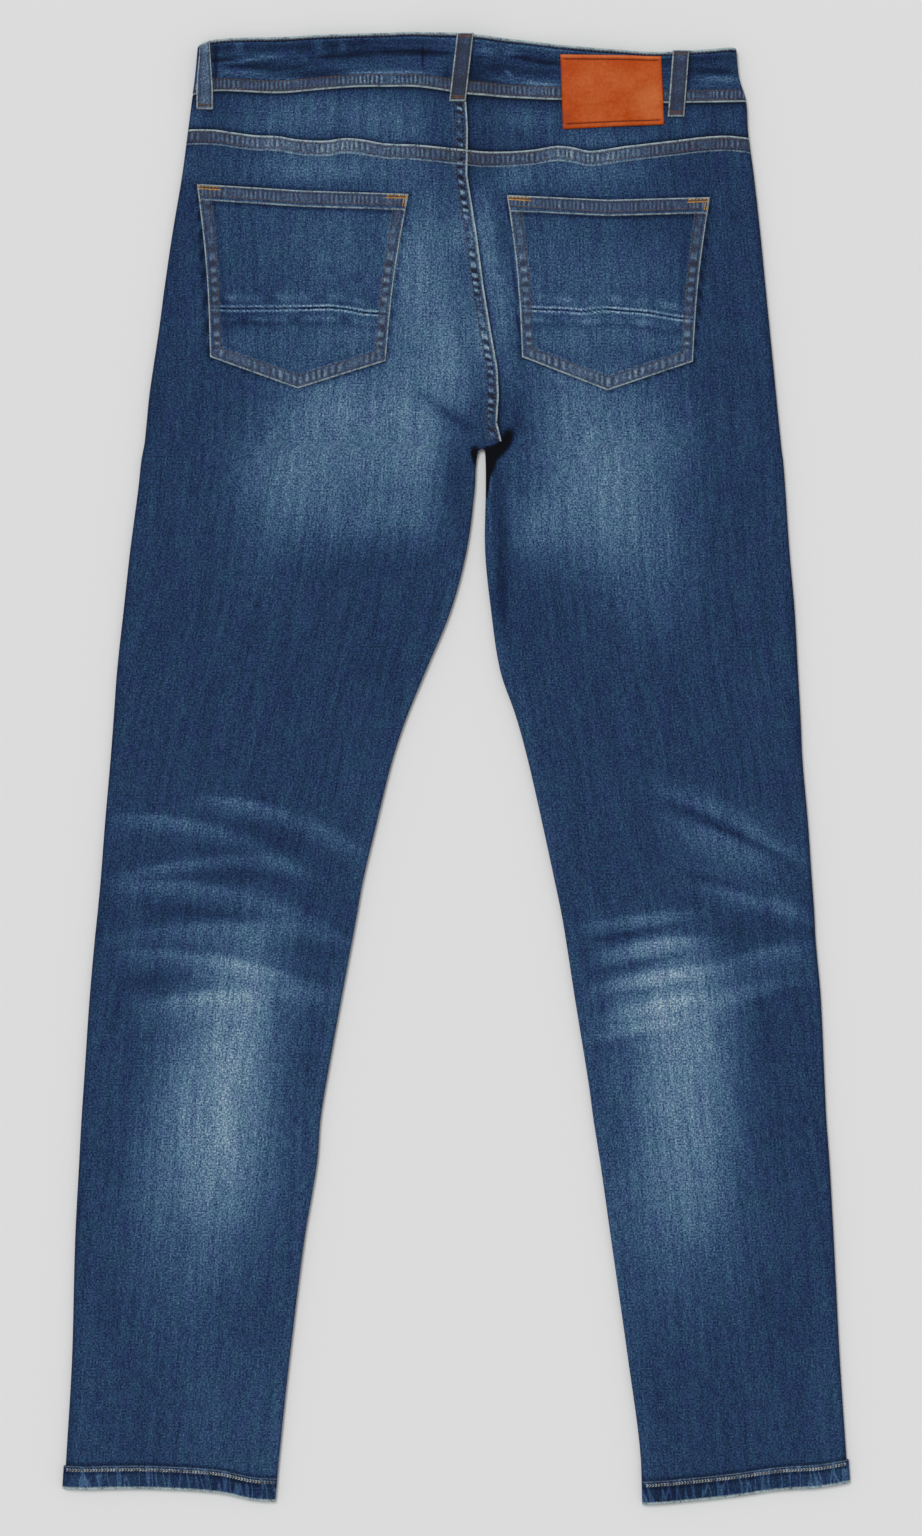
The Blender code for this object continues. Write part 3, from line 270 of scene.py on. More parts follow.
# A faded place: its middle, its reach each way, how far it leans along the leg and how pale it is.
Fade = namedtuple("Fade", "x y reach_x reach_y lean paler")
DARK_INDIGO = 0.075  # how pale the cloth is where it has not faded
BACK_FADES = [Fade(*row) for row in (
    (-110, 232, 50, 54, 0.1, 0.48),
    (-38, 244, 32, 48, 0.1, 0.42),
    (-84, 284, 50, 24, 0, 0.32),
    (-144, 176, 28, 50, 0.15, 0.08),
    (-24, 366, 35, 88, -0.1, 0.44),
    (-4, 304, 22, 34, 0, 0.26),
    (0, 412, 16, 20, 0, 0.12),
    (16, 414, 8, 26, 0, 0.16),
    (20, 328, 9, 24, -0.3, 0.32),
    (34, 276, 8, 22, 0, -0.1),
    (20, 461, 12, 16, 0, -0.12),
    (0, 216, 10, 30, 0, -0.12),
    (-54, 392, 18, 28, 0, 0.24),
    (-46, 305, 12, 36, 0, 0.12),
    (27, 392, 11, 54, -0.08, 0.38),
    (46, 334, 14, 52, 0, 0.22),
    (108, 238, 50, 56, 0, 0.47),
    (116, 184, 48, 40, 0.1, 0.24),
    (62, 186, 26, 26, 0, 0.18),
    (154, 156, 32, 56, 0, 0.18),
    (94, 278, 36, 24, 0, 0.2),
    (160, 262, 30, 40, 0, 0.14),
    (92, 304, 44, 12, 0, 0.12),
    (-114, 498, 48, 20, 0, 0.28),
    (-52, 492, 32, 22, 0, 0.2),
    (-106, 457, 54, 14, 0, 0.36),
    (56, 494, 24, 10, 0, 0.2),
    (100, 457, 54, 20, 0, 0.25),
    (46, 452, 13, 15, 0, 0.24),
    (-150, -126, 30, 30, 0, 0.2),
    (-164, -192, 28, 40, 0, 0.3),
    (-180, -262, 44, 108, 0.12, 0.54),
    (-190, -292, 72, 132, 0.08, 0.14),
    (-234, -300, 12, 90, 0, 0.07),
    (-184, -300, 18, 44, 0.1, 0.08),
    (-168, -500, 50, 66, 0, 0.1),
    (-276, -470, 18, 60, 0, 0.06),
    (214, -66, 38, 30, 0, 0.1),
    (208, -122, 22, 13, 0, -0.08),
    (178, -82, 14, 10, 0, 0.08),
    (160, -170, 40, 42, 0, 0.31),
    (190, -150, 12, 12, 0, 0.1),
    (176, -218, 28, 50, 0, 0.18),
    (172, -262, 42, 110, -0.1, 0.46),
    (156, -334, 57, 82, 0, 0.15),
    (200, -200, 20, 34, 0, 0.14),
    (108, -340, 14, 70, 0.1, 0.06),
    (284, -470, 16, 90, 0, 0.06),
    (-62, 188, 42, 18, 0, 0.18),
    (-26, 200, 15, 30, 0, 0.16),
    (-208, -245, 10, 44, 0, 0.1),
    (-170, -288, 9, 54, -0.1, 0.07),
    (-238, -246, 13, 30, 0, -0.09),
    (-136, -246, 15, 26, 0, -0.08),
    (-210, -355, 16, 24, 0, -0.07),
    (-166, -358, 14, 14, 0, -0.1),
    (-174, -184, 22, 13, 0, -0.1),
    (-122, -160, 14, 8, 0, -0.08),
    (-264, -412, 9, 22, 0, -0.07),
    (186, -374, 14, 18, 0, -0.08),
    (200, -420, 8, 26, 0, -0.05),
    (194, -272, 12, 20, 0, 0.1),
    (240, -270, 10, 36, 0, -0.06),
    (118, -300, 8, 34, 0, -0.06),
    (-56, 74, 26, 18, 0, -0.06),
    (34, 128, 8, 20, 0, -0.08),
    (64, 180, 9, 18, 0, 0.08),
    (126, 125, 17, 32, 0, 0.06),
    (108, 270, 18, 12, 0, -0.09),
    (56, 256, 7, 13, 0, -0.1),
    (78, 299, 10, 6, 0, 0.12),
    (-80, 271, 8, 18, 0, 0.08),
    (-26, 362, 6, 28, 0, 0.1),
    (-156, 225, 10, 28, 0, 0.06),
    (-18, 290, 8, 20, 0, -0.07),
    (178, 457, 34, 12, 0, -0.07),
    (-178, 502, 13, 8, 0, -0.09),
    (112, 480, 38, 7, 0, 0.15),
    (-145, 487, 16, 6, 0, 0.1),
    (-76, -12, 10, 18, 0, 0.09),
    (-165, -61, 24, 5, 0, -0.07),
    (-155, -113, 13, 9, 0, -0.07),
    (-250, -125, 6, 16, 0, -0.06),
    (-200, -308, 8, 16, 0, -0.08),
    (-155, -204, 8, 10, 0, -0.08),
    (-116, -226, 12, 18, 0, -0.07),
    (-260, -308, 12, 11, 0, -0.07),
    (120, -236, 8, 12, 0, 0.08),
    (44, 374, 9, 22, 0, 0.14),
    (46, 334, 9, 16, 0, 0.06),
    (6, 407, 8, 14, 0, 0.16),
    (-20, 236, 8, 12, 0, 0.1),
    (130, 202, 20, 8, 0, -0.05),
    (-199, 494, 6, 9, 0, 0.2),
    (-206, 458, 6, 9, 0, 0.2),
)]


def smooth_line(table, key, column, at):
    """Value of a column on a smooth curve through a table's rows."""
    places = np.array([getattr(row, key) for row in table])
    values = np.array([getattr(row, column) for row in table])
    at = np.clip(np.asarray(at, float), places[0], places[-1])
    k = np.clip(np.searchsorted(places, at, side="right") - 1, 0, len(places) - 2)
    low = np.maximum(np.arange(len(places)) - 1, 0)
    high = np.minimum(np.arange(len(places)) + 1, len(places) - 1)
    slopes = (values[high] - values[low]) / (places[high] - places[low])
    width = places[k + 1] - places[k]
    t = (at - places[k]) / width
    return ((2 * t**3 - 3 * t**2 + 1) * values[k] + (t**3 - 2 * t**2 + t) * width * slopes[k]
            + (3 * t**2 - 2 * t**3) * values[k + 1] + (t**3 - t**2) * width * slopes[k + 1])


def by_level(y, column):
    """A side or a height that has one column above the crotch and one below."""
    y = np.asarray(y, float)
    return np.where(y > CROTCH_Y, smooth_line(HIPS, "y", column, y),
                    smooth_line(LEVELS, "y", column, y))


def waist_line(x, column):
    return smooth_line(WAIST, "x", column, x)


def yoke_seam(x):
    return smooth_line(YOKE_SEAM, "x", "y", x)


def hem_line(side, x):
    return smooth_line(HEM[side], "x", "y", x)


def seat_seam(y):
    return np.interp(y, [h.y for h in HIPS], [h.seat_seam for h in HIPS])


def ease(t):
    t = np.clip(t, 0.0, 1.0)
    return t * t * (3.0 - 2.0 * t)


def bell(distance, reach):
    """A soft bump, 1 at no distance and all but gone at twice its reach."""
    return np.exp(-((distance / reach) ** 2))


def beside(x, y, start, end):
    """How far each place is from a straight line, and at which share of its length."""
    (ax, ay), (bx, by) = start, end
    span = (bx - ax) ** 2 + (by - ay) ** 2
    t = np.clip(((x - ax) * (bx - ax) + (y - ay) * (by - ay)) / span, 0.0, 1.0)
    return np.hypot(x - ax - t * (bx - ax), y - ay - t * (by - ay)), t


def front_waist(x, column):
    """The waistband's edge on the front, which dips towards the centre."""
    left, right = float(by_level(511.0, "left_outer")), float(by_level(507.0, "right_outer"))
    across = np.clip((np.asarray(x, float) - left) / (right - left), 0.0, 1.0)
    side = waist_line(left, column) * (1.0 - across) + waist_line(right, column) * across
    return side - 22.0 * np.sin(np.pi * across) ** 1.2


def on_band(edge_line, x, up):
    """Height on the waistband a share of its depth up; edge_line gives its bottom and its top."""
    return edge_line(x, "bottom") * (1.0 - up) + edge_line(x, "top") * up


def centre_front(y):
    return 20.0 - 15.0 * (np.asarray(y, float) - CROTCH_Y) / (512.0 - CROTCH_Y)


FRONT_LOOPS = {"loop_front_left": -92.0, "loop_front_right": 106.0}
BUTTON_X = 9.0


def held_off(x, y):
    """How far the front loops and the button hold the cloth off the table."""
    x, y = np.asarray(x, float), np.asarray(y, float)
    off = np.zeros(np.broadcast(x, y).shape)
    for loop_x in FRONT_LOOPS.values():
        low = front_waist(loop_x, "bottom") - 8.0
        near = (1.0 - ease((np.abs(x - loop_x) - 17.0) / 22.0)) * ease((y - (low - 26.0)) / 18.0)
        off = np.maximum(off, 2.1 * near)
    middle = on_band(front_waist, BUTTON_X, 0.5)
    near = (1.0 - ease((np.abs(x - BUTTON_X) - 10.5) / 18.0)) * ease((y - (middle - 46.0)) / 34.0)
    return np.maximum(off, 2.7 * near)


def held_by_lap(x, y):
    """How far the lapped waistband ends hold up the back over them."""
    start = centre_front(y) - 32.0
    across = ease((x - (start - 22.0)) / 20.0) * (1.0 - ease((x - centre_front(y) - 14.0) / 26.0))
    return 2.9 * across * ease((y - 455.0) / 30.0)


def crease_effect(creases, x, y):
    """Sum of the creases' depths, and of how much paler they are, at each place."""
    depth = np.zeros(np.shape(x))
    paler = np.zeros(np.shape(x))
    for c in creases:
        ends = ((c.x1, c.y1), (c.x2, c.y2), (c.x3, c.y3))
        nearest = np.full(np.shape(x), 1e6)
        share = np.zeros(np.shape(x))
        for k in range(2):
            gap, t = beside(x, y, ends[k], ends[k + 1])
            share = np.where(gap < nearest, (k + t) / 2, share)
            nearest = np.minimum(gap, nearest)
        strength = bell(nearest, c.width) * np.sin(np.pi * (0.08 + 0.84 * share)) ** 0.7
        depth += c.depth * strength
        paler += c.paler * strength
    return depth, paler


def whisker_wear(whiskers, x, y):
    """How much paler the whiskers leave the cloth at each place."""
    toned = np.zeros(np.shape(x))
    for w in whiskers:
        share = np.clip((x - w.x1) / (w.x3 - w.x1), 0.0, 1.0)
        bend = (x - w.x1) * (x - w.x3) / ((w.x2 - w.x1) * (w.x2 - w.x3))
        chord = w.y1 + (w.y3 - w.y1) * (x - w.x1) / (w.x3 - w.x1)
        chord_middle = w.y1 + (w.y3 - w.y1) * (w.x2 - w.x1) / (w.x3 - w.x1)
        off = y - chord - (w.y2 - chord_middle) * bend
        spread = np.where(off > 0.0, w.above, w.below)
        toned += w.paler * np.sin(np.pi * share) ** 0.8 * bell(off, spread)
    return toned


def fade_at(fades, x, y):
    pale = np.full(np.shape(x), DARK_INDIGO)
    for f in fades:
        reach = ((x - f.x - f.lean * (y - f.y)) / f.reach_x) ** 2 + ((y - f.y) / f.reach_y) ** 2
        pale += f.paler * np.exp(-(reach**1.15))
    return pale


def slack(x, y):
    """The slow rise and fall of cloth that has been smoothed by hand."""
    return (0.28 * np.sin(x / 31.0 + 0.6 * np.sin(y / 47.0)) * np.sin(y / 58.0 + 0.8)
            + 0.16 * np.sin(x / 17.0 + y / 39.0) + 0.1 * np.sin(y / 19.0 - x / 53.0))


def back_height(x, y):
    """Height of the upper cloth's face, apart from seams and turned edges."""
    depth, _ = crease_effect(BACK_CREASES, x, y)
    ridges = WHISKER_RISE * whisker_wear(BACK_WHISKERS, x, y)
    return by_level(y, "height") + held_off(x, y) + held_by_lap(x, y) + slack(x, y) + ridges - depth


def turn(distance, width):
    near = np.clip(1.0 - np.asarray(distance, float) / width, 0.0, 1.0)
    return np.sqrt(np.maximum(0.0, 1.0 - near * near))


def turned_wall(x, y, way, d_outer, d_inner, face, middle, flat_inner, thick, folded=1.0):
    """Face and reverse points of cloth whose edges turn towards the middle height."""
    rise = np.minimum(1.0 + (turn(d_outer, FOLD) - 1.0) * folded,
                      turn(d_inner, FOLD) * (1.0 - flat_inner) + flat_inner)
    up = np.sign(face - middle)
    z_face = middle + (face - middle) * rise
    z_reverse = middle + (face - up * thick - middle) * rise
    shift = thick * np.clip(1.0 - d_outer / FOLD, 0.0, 1.0) * folded
    shift = shift - thick * np.clip(1.0 - d_inner / FOLD, 0.0, 1.0) * (1.0 - flat_inner)
    return np.stack([x, y, z_face], -1), np.stack([x + way * shift, y, z_reverse], -1)


def felled(distance):
    """Height of a felled seam above the panel, pulled down along its two rows of stitches."""
    distance = np.asarray(distance, float)
    top = FELL_LIFT - 0.3 * bell(distance - ROWS[0], 0.8)
    top = top - 0.3 * bell(distance - ROWS[1], 0.9) - 0.3 * np.exp(-distance / 0.3)
    return top * (1.0 - ease((distance - FELL_WIDTH) / 1.3))


def twist(along, across, pitch):
    """The twisted ridges that washing leaves along a seam."""
    return np.sin(2 * np.pi * along / pitch + across * 0.45 + 1.3 * np.sin(along / 17.0))


def cloth_shell(name, face, reverse, marks, weave, finishes):
    """A closed shell of cloth between two grids of points, with its marks and weave stored."""
    rows, columns = face.shape[:2]
    count = rows * columns
    shell = bmesh.new()
    bmesh.ops.create_grid(shell, x_segments=columns - 1, y_segments=rows - 1, size=0.5)
    place = shell.verts.layers.int.new("place")
    for k, vertex in enumerate(shell.verts):
        vertex[place] = k
    grown = bmesh.ops.extrude_face_region(shell, geom=shell.faces[:])
    for vertex in grown["geom"]:
        if isinstance(vertex, bmesh.types.BMVert):
            vertex[place] += count
            vertex.co.z -= 0.01
    bmesh.ops.recalc_face_normals(shell, faces=shell.faces)
    points = np.concatenate([face.reshape(-1, 3), reverse.reshape(-1, 3)]) * MM
    for vertex in shell.verts:
        vertex.co = points[vertex[place]]
    if shell.calc_volume(signed=True) < 0.0:
        bmesh.ops.reverse_faces(shell, faces=shell.faces)
    for finish in shell.faces:
        finish.material_index = int(all(v[place] >= count for v in finish.verts))
    piece = placed(name, shell)
    data = piece.data
    places = np.empty(len(data.vertices), np.int32)
    data.attributes["place"].data.foreach_get("value", places)
    places %= count
    for mark, values in marks.items():
        kind, key = ("FLOAT_VECTOR", "vector") if values.ndim == 3 else ("FLOAT", "value")
        stored = data.attributes.new(mark, kind, "POINT")
        stored.data.foreach_set(key, values.reshape(count, -1)[places].astype(np.float32).ravel())
    corners = np.empty(len(data.loops), np.int32)
    data.loops.foreach_get("vertex_index", corners)
    warp = data.uv_layers.new(name="warp")
    weave = (weave * MM).reshape(-1, 2)[places[corners]]
    warp.data.foreach_set("uv", weave.astype(np.float32).ravel())
    data.attributes.remove(data.attributes["place"])
    for finish in finishes:
        data.materials.append(finish)
    data.shade_smooth()
    data.set_sharp_from_angle(angle=math.radians(48.0))
    return piece


ROOM_LIGHT = 0.93  # share of its own colour that a flat sheet shows under the lamp


def dye(red, green, blue):
    """Colour of a finish from how it looks, as red, green and blue out of 255."""
    shown = [c / 255.0 for c in (red, green, blue)]
    linear = [c / 12.92 if c < 0.04 else ((c + 0.055) / 1.055) ** 2.4 for c in shown]
    return [min(1.0, c / ROOM_LIGHT) for c in linear] + [1.0]


def joined(tree, kind, settings=None, **sockets):
    """A shader node with its sockets set or linked; a socket name's underscore is a space."""
    node = tree.nodes.new(kind)
    for name, value in (settings or {}).items():
        setattr(node, name, value)
    for name, value in sockets.items():
        key = int(name[2:]) if name.startswith("in") and name[2:].isdigit() else name.replace("_", " ")
        if isinstance(value, bpy.types.NodeSocket):
            tree.links.new(value, node.inputs[key])
        else:
            node.inputs[key].default_value = value
    return node


def sums(tree, operation, *values):
    """One maths node on two or three values or sockets."""
    return joined(tree, "ShaderNodeMath", {"operation": operation},
                  **{f"in{k}": value for k, value in enumerate(values)}).outputs[0]


def noise(tree, place, detail, roughness, scale=1.0, dimensions="2D"):
    """Soft noise from 0 to 1 at a place."""
    return joined(tree, "ShaderNodeTexNoise", {"noise_dimensions": dimensions}, Vector=place,
                  Scale=scale, Detail=detail, Roughness=roughness).outputs[0]


def warp_place(tree, **mapping):
    """Place in the cloth's own directions, mapped."""
    warp = joined(tree, "ShaderNodeUVMap", {"uv_map": "warp"})
    return joined(tree, "ShaderNodeMapping", Vector=warp.outputs[0], **mapping).outputs[0]


def yarn_noise(tree, across, along, detail=2.0, roughness=0.55):
    """Noise about 0 in the cloth's own directions, with its grain's size in millimetres."""
    place = warp_place(tree, Scale=(1.0 / MM / across, 1.0 / MM / along, 1.0))
    return sums(tree, "SUBTRACT", noise(tree, place, detail, roughness), 0.5)


def marked(tree, name, output="Fac"):
    """What a mark stored on a piece says."""
    return joined(tree, "ShaderNodeAttribute", {"attribute_name": name}).outputs[output]


def in_relief(tree, shader, height, strength, distance):
    """Fine relief on a finish."""
    bump = joined(tree, "ShaderNodeBump", Height=height, Strength=strength, Distance=distance)
    tree.links.new(bump.outputs[0], shader.inputs["Normal"])


def roughened(tree, shader, value, start, end, low, high):
    """Roughness from low to high as a value goes from start to end."""
    rough = joined(tree, "ShaderNodeMapRange", Value=value, From_Min=start, From_Max=end, To_Min=low,
                   To_Max=high)
    tree.links.new(rough.outputs[0], shader.inputs["Roughness"])


def ramped(tree, value, *tones):
    """Colour along a row of tones, each a place and its red, green and blue out of 255."""
    low, high = tones[0][0], tones[-1][0]
    share = joined(tree, "ShaderNodeMapRange", Value=value, From_Min=low, From_Max=high).outputs[0]
    shades = joined(tree, "ShaderNodeValToRGB", Fac=share)
    ramp = shades.color_ramp
    while len(ramp.elements) < len(tones):
        ramp.elements.new(0.5)
    for stop, (at, red, green, blue) in zip(ramp.elements, tones):
        stop.position = (at - low) / (high - low)
        stop.color = dye(red, green, blue)
    return shades.outputs[0]


def stepped(tree, value, start, end, low=0.0, high=1.0):
    """A soft step of a value from low at start to high at end."""
    return joined(tree, "ShaderNodeMapRange", {"interpolation_type": "SMOOTHSTEP"}, Value=value,
                  From_Min=start, From_Max=end, To_Min=low, To_Max=high).outputs[0]


# The darkest stop, all but black, serves the painted shadow in the crotch hollow.
FACE_TONES = ((-0.9, 4, 6, 12), (-0.4, 8, 18, 38), (-0.15, 16, 31, 58), (0.1, 32, 54, 89),
              (0.35, 50, 77, 111), (0.6, 74, 103, 134), (0.9, 100, 128, 152), (1.15, 128, 152, 170),
              (1.5, 168, 184, 192))
REVERSE_TONES = ((-0.2, 70, 88, 112), (0.1, 96, 114, 136), (0.6, 128, 144, 160), (1.4, 176, 186, 194))


def indigo_twill(name, tones):
    """Washed denim: dark blue warp over pale weft, paler where the marks say it has faded and darker where
    they paint shade and shadow.
    """
    finish, tree, shader = new_finish(name, Specular_IOR_Level=0.1, Sheen_Weight=0.03,
                                      Sheen_Roughness=0.6)
    times, plus = partial(sums, tree, "MULTIPLY"), partial(sums, tree, "MULTIPLY_ADD")
    minus, step = partial(sums, tree, "SUBTRACT"), partial(stepped, tree)
    washed, edge = marked(tree, "washed"), marked(tree, "edge")
    parts = joined(tree, "ShaderNodeSeparateXYZ", Vector=marked(tree, "seam", "Vector"))
    across, along, strength = parts.outputs
    roped = sums(tree, "MAXIMUM", strength, 0.0)
    crumpled = step(strength, -0.6, -0.1, 1.0, 0.0)

    def seam_noise(grains, spread, detail, roughness):
        """Noise beside a seam: its grains to one unit of along, and to a millimetre across."""
        place = joined(tree, "ShaderNodeCombineXYZ", X=times(along, grains), Y=times(across, spread))
        return noise(tree, place.outputs[0], detail, roughness)

    grain = yarn_noise(tree, 1.3, 1.3, 1.0, 0.5)
    slub = yarn_noise(tree, 1.4, 8.0, 2.0, 0.6)
    weft = yarn_noise(tree, 7.0, 1.1, 2.0, 0.5)
    streak = yarn_noise(tree, 5.0, 75.0, 2.0, 0.55)
    mottle = yarn_noise(tree, 6.0, 9.0, 2.0, 0.6)
    cloud = yarn_noise(tree, 34.0, 44.0, 2.0, 0.5)

    # Ropes of pale and dark twist between the rows of stitches, at one pitch for a unit of along.
    drift = seam_noise(0.23, 0.01, 1.0, 0.5)
    turns = sums(tree, "SINE", plus(drift, 1.5 * math.tau, times(along, math.tau)))
    turns = times(turns, step(drift, 0.34, 0.62, 0.08, 0.34))
    ropes = sums(tree, "ADD", turns, minus(seam_noise(1.5, 0.2, 3.0, 0.65), 0.5))
    between = times(step(across, ROWS[0] - 1.2, ROWS[0] + 0.8),
                    step(across, ROWS[1] - 1.0, ROWS[1] + 1.4, 1.0, 0.0))
    crown = times(step(across, ROWS[0] - 0.8, ROWS[0] + 1.6),
                  step(across, ROWS[1] - 2.0, ROWS[1] + 0.8, 1.0, 0.0))
    ropes = times(ropes, times(crown, roped))
    # A hem has crumpled instead: thin worn lines, one for about each unit of along.
    lines = sums(tree, "ABSOLUTE", minus(seam_noise(1.0, 0.04, 1.0, 0.5), 0.5))
    lines = times(step(lines, 0.0, 0.07, 1.0, 0.0), crumpled)
    pulled = 0.0  # the dark channel that each row of stitches pulls down
    for row in ROWS:
        off = sums(tree, "ABSOLUTE", minus(across, row))
        pulled = sums(tree, "ADD", pulled, step(off, 0.25, 1.15, 1.0, 0.0))
    pulled = times(pulled, roped)
    # The worn pale line where an edge is folded.
    breaks = plus(sums(tree, "ADD", grain, mottle), 1.6, 0.85)
    rubbed = times(step(edge, 0.35, 1.2, 1.0, 0.0), breaks)

    yarns = times(grain, 1.35)
    for yarn, share in ((slub, 0.55), (weft, 0.25), (streak, 0.36), (mottle, 0.16), (cloud, 0.1)):
        yarns = plus(yarn, share, yarns)
    pale = plus(yarns, plus(washed, 1.05, 0.66), washed)
    for change, share in ((ropes, 1.7), (lines, 0.4), (pulled, -0.22)):
        pale = plus(change, share, pale)
    # The indigo is a little greener in some places and more violet in others.
    shade = plus(yarn_noise(tree, 11.0, 20.0, 3.0, 0.6), -0.05, 0.498)
    cloth = joined(tree, "ShaderNodeHueSaturation", Hue=shade, Color=ramped(tree, pale, *tones))
    # A seam that has hardly roped has greyed; one that has roped strongly is still blue.
    greyed = times(step(strength, 0.0, 0.6, 0.0, 1.0), step(strength, 0.96, 1.2, 0.34, 0.12))
    cloth = joined(tree, "ShaderNodeMix", {"data_type": "RGBA"}, in0=times(between, greyed),
                   in6=cloth.outputs[0], in7=dye(80, 82, 94))
    toned = joined(tree, "ShaderNodeMix", {"data_type": "RGBA"}, in0=rubbed, in6=cloth.outputs[2],
                  in7=dye(160, 176, 178))
    tree.links.new(toned.outputs[2], shader.inputs["Base Color"])

    diagonal = warp_place(tree, Rotation=(0.0, 0.0, math.radians(62.0)),
                          Scale=(1.0 / MM, 1.0 / MM, 1.0))
    twill = joined(tree, "ShaderNodeTexWave", {"wave_type": "BANDS", "bands_direction": "X"},
                   Vector=diagonal, Scale=0.42, Distortion=1.2, Detail=1.0)
    relief = times(twill.outputs["Fac"], 0.16)
    for form, share in ((slub, 0.6), (grain, 0.5), (ropes, 2.4)):
        relief = plus(form, share, relief)
    in_relief(tree, shader, relief, 0.5, 0.0006)
    roughened(tree, shader, grain, -0.3, 0.3, 0.84, 0.98)
    return finish


denim = [indigo_twill("twill_face", FACE_TONES), indigo_twill("twill_reverse", REVERSE_TONES)]

OUTER_TURN = [FOLD * (1.0 - math.cos(math.radians(a))) for a in (0, 14, 28, 42, 56, 70, 80, 90)]
INNER_STEPS = [24, 21.8, 19.6, 17.4, 15.2, 13.4, 12.1, 11.5, 10.8, 10.0, 8.8, 7.4, 6.0, 4.9, 4.0,
               3.2, 2.4, 1.7, 1.1, 0.65, 0.3, 0.08, 0.0]


def across_places(x_outer, x_inner, inner_steps, spare):
    """Distances in from a panel's outer edge, close together at its seams."""
    width = abs(x_inner - x_outer)
    middle = np.linspace(FOLD, width - inner_steps[0], spare + 1)[1:-1]
    return np.concatenate([OUTER_TURN, middle, width - np.array(inner_steps, float)]), width


def level(y):
    return lambda x: y + np.zeros(np.shape(x))


def hem_rows(side, ups):
    """Rows along a hem, each at its height above the edge."""
    return [lambda x, up=up: hem_line(side, x) + up for up in ups]


def rows_between(low, high, shares):
    """Rows at shares of the way from one line up to another."""
    return [lambda x, s=s: low(x) * (1.0 - s) + high(x) * s for s in shares]


def back_rows(side):
    """Each row's line across a back leg panel, from the hem up to the yoke seam."""
    hem_ups = (0.0, 0.12, 0.4, 0.9, 1.6, 2.6, 3.8, 5.2, 6.6, 8.0, 9.4, 10.8, 12.2, 13.4, 14.4, 15.4,
               16.4, 17.0, 17.4, 17.75, 18.4, 19.4, 20.6, HEM_TOP)
    levels = np.concatenate([np.arange(HEM_LEVEL, 196.0, 3.2), np.arange(196.0, 240.0, 2.0),
                             np.arange(240.0, 255.0, 0.75), np.arange(255.0, 432.0, 3.0)])
    yoke_downs = (14.0, 12.9, 12.1, 11.5, 10.8, 10.0, 8.8, 7.4, 6.0, 4.6, 3.2, 2.2, 1.4, 0.8, 0.35,
                  0.12, 0.04)
    return (hem_rows(side, hem_ups)
            + rows_between(lambda x: hem_line(side, x) + HEM_TOP, level(HEM_LEVEL),
                           np.linspace(0.0, 1.0, 12)[1:-1])
            + [level(y) for y in levels]
            + rows_between(level(levels[-1]), lambda x: yoke_seam(x) - yoke_downs[0],
                           np.linspace(0.0, 1.0, 13)[1:-1])
            + [lambda x, down=down: yoke_seam(x) - down for down in yoke_downs])


def row_ends(line, side):
    """A row's outer end, its height there and at its inner end, and whether it is in the hem."""
    way = INWARD[side]
    x_out = float(by_level(line(way * -210.0), side + "_outer"))
    y_out = float(line(x_out))
    in_hem = y_out < hem_line(side, x_out) + HEM_HEIGHT + 0.1
    x_out = float(by_level(y_out, side + "_outer")) - way * HEM_FLARE * in_hem
    y_in = float(line(way * -137.0 if y_out < -450.0 else 10.0))
    return x_out, y_out, y_in, in_hem


def inner_end(side, y_in, above_crotch):
    """Where a row ends inward: at the inseam or, above the crotch, at the place given."""
    if y_in > CROTCH_Y:
        return float(above_crotch)
    return float(smooth_line(LEVELS, "y", side + "_inner", y_in))


ClothRow = namedtuple("ClothRow", "face reverse washed seam edge weave")


def shell_of_rows(name, rows):
    """A shell of denim from its rows of points and marks."""
    face, reverse, washed, seam, edge, weave = (np.array(column) for column in zip(*rows))
    marks = {"washed": washed, "seam": seam, "edge": np.clip(edge, 0.0, PLAIN)}
    return cloth_shell(name, face, reverse, marks, weave, denim)


def seam_marks(x, seams):
    """Distance across and along the nearest seam, with how strongly it has roped."""
    marks = [np.full(x.shape, FAR), np.zeros(x.shape), np.zeros(x.shape)]
    for seam in seams:
        nearer = seam[0] < marks[0]
        marks = [np.where(nearer, new, old) for new, old in zip(seam, marks)]
    return np.stack(marks, -1)


def hem_run(x, from_hem):
    """A hem's part of the seam marks: it has crumpled."""
    in_turning = np.where(from_hem < HEM_HEIGHT + 0.4, from_hem * HEM_ROW_SCALE, FAR)
    return in_turning, (x + from_hem * 0.12) / 7.5, -1.0


Pocket = namedtuple("Pocket", "name x_tl y_tl x_top y_top x_tr y_tr x_bl y_bl x_tip y_tip x_br y_br")
POCKETS = [Pocket(*row) for row in (
    ("back_pocket_left", -196.5, 444.5, -116.0, 439.5, -35.5, 437.0,
           -186.5, 313.0, -116.5, 289.0, -53.0, 310.0),
    ("back_pocket_right", 39.0, 436.0, 119.5, 432.5, 193.5, 434.5,
           50.5, 313.0, 116.5, 287.5, 180.5, 309.5),
)]


def gap_to_pockets(x, y):
    """Distance from each place to the nearest pocket's edge."""
    nearest = np.full(np.shape(x), 99.0)
    for p in POCKETS:
        corners = [(p.x_tl, p.y_tl), (p.x_top, p.y_top), (p.x_tr, p.y_tr), (p.x_br, p.y_br),
                   (p.x_tip, p.y_tip), (p.x_bl, p.y_bl), (p.x_tl, p.y_tl)]
        for start, end in zip(corners, corners[1:]):
            nearest = np.minimum(nearest, beside(x, y, start, end)[0])
    return nearest


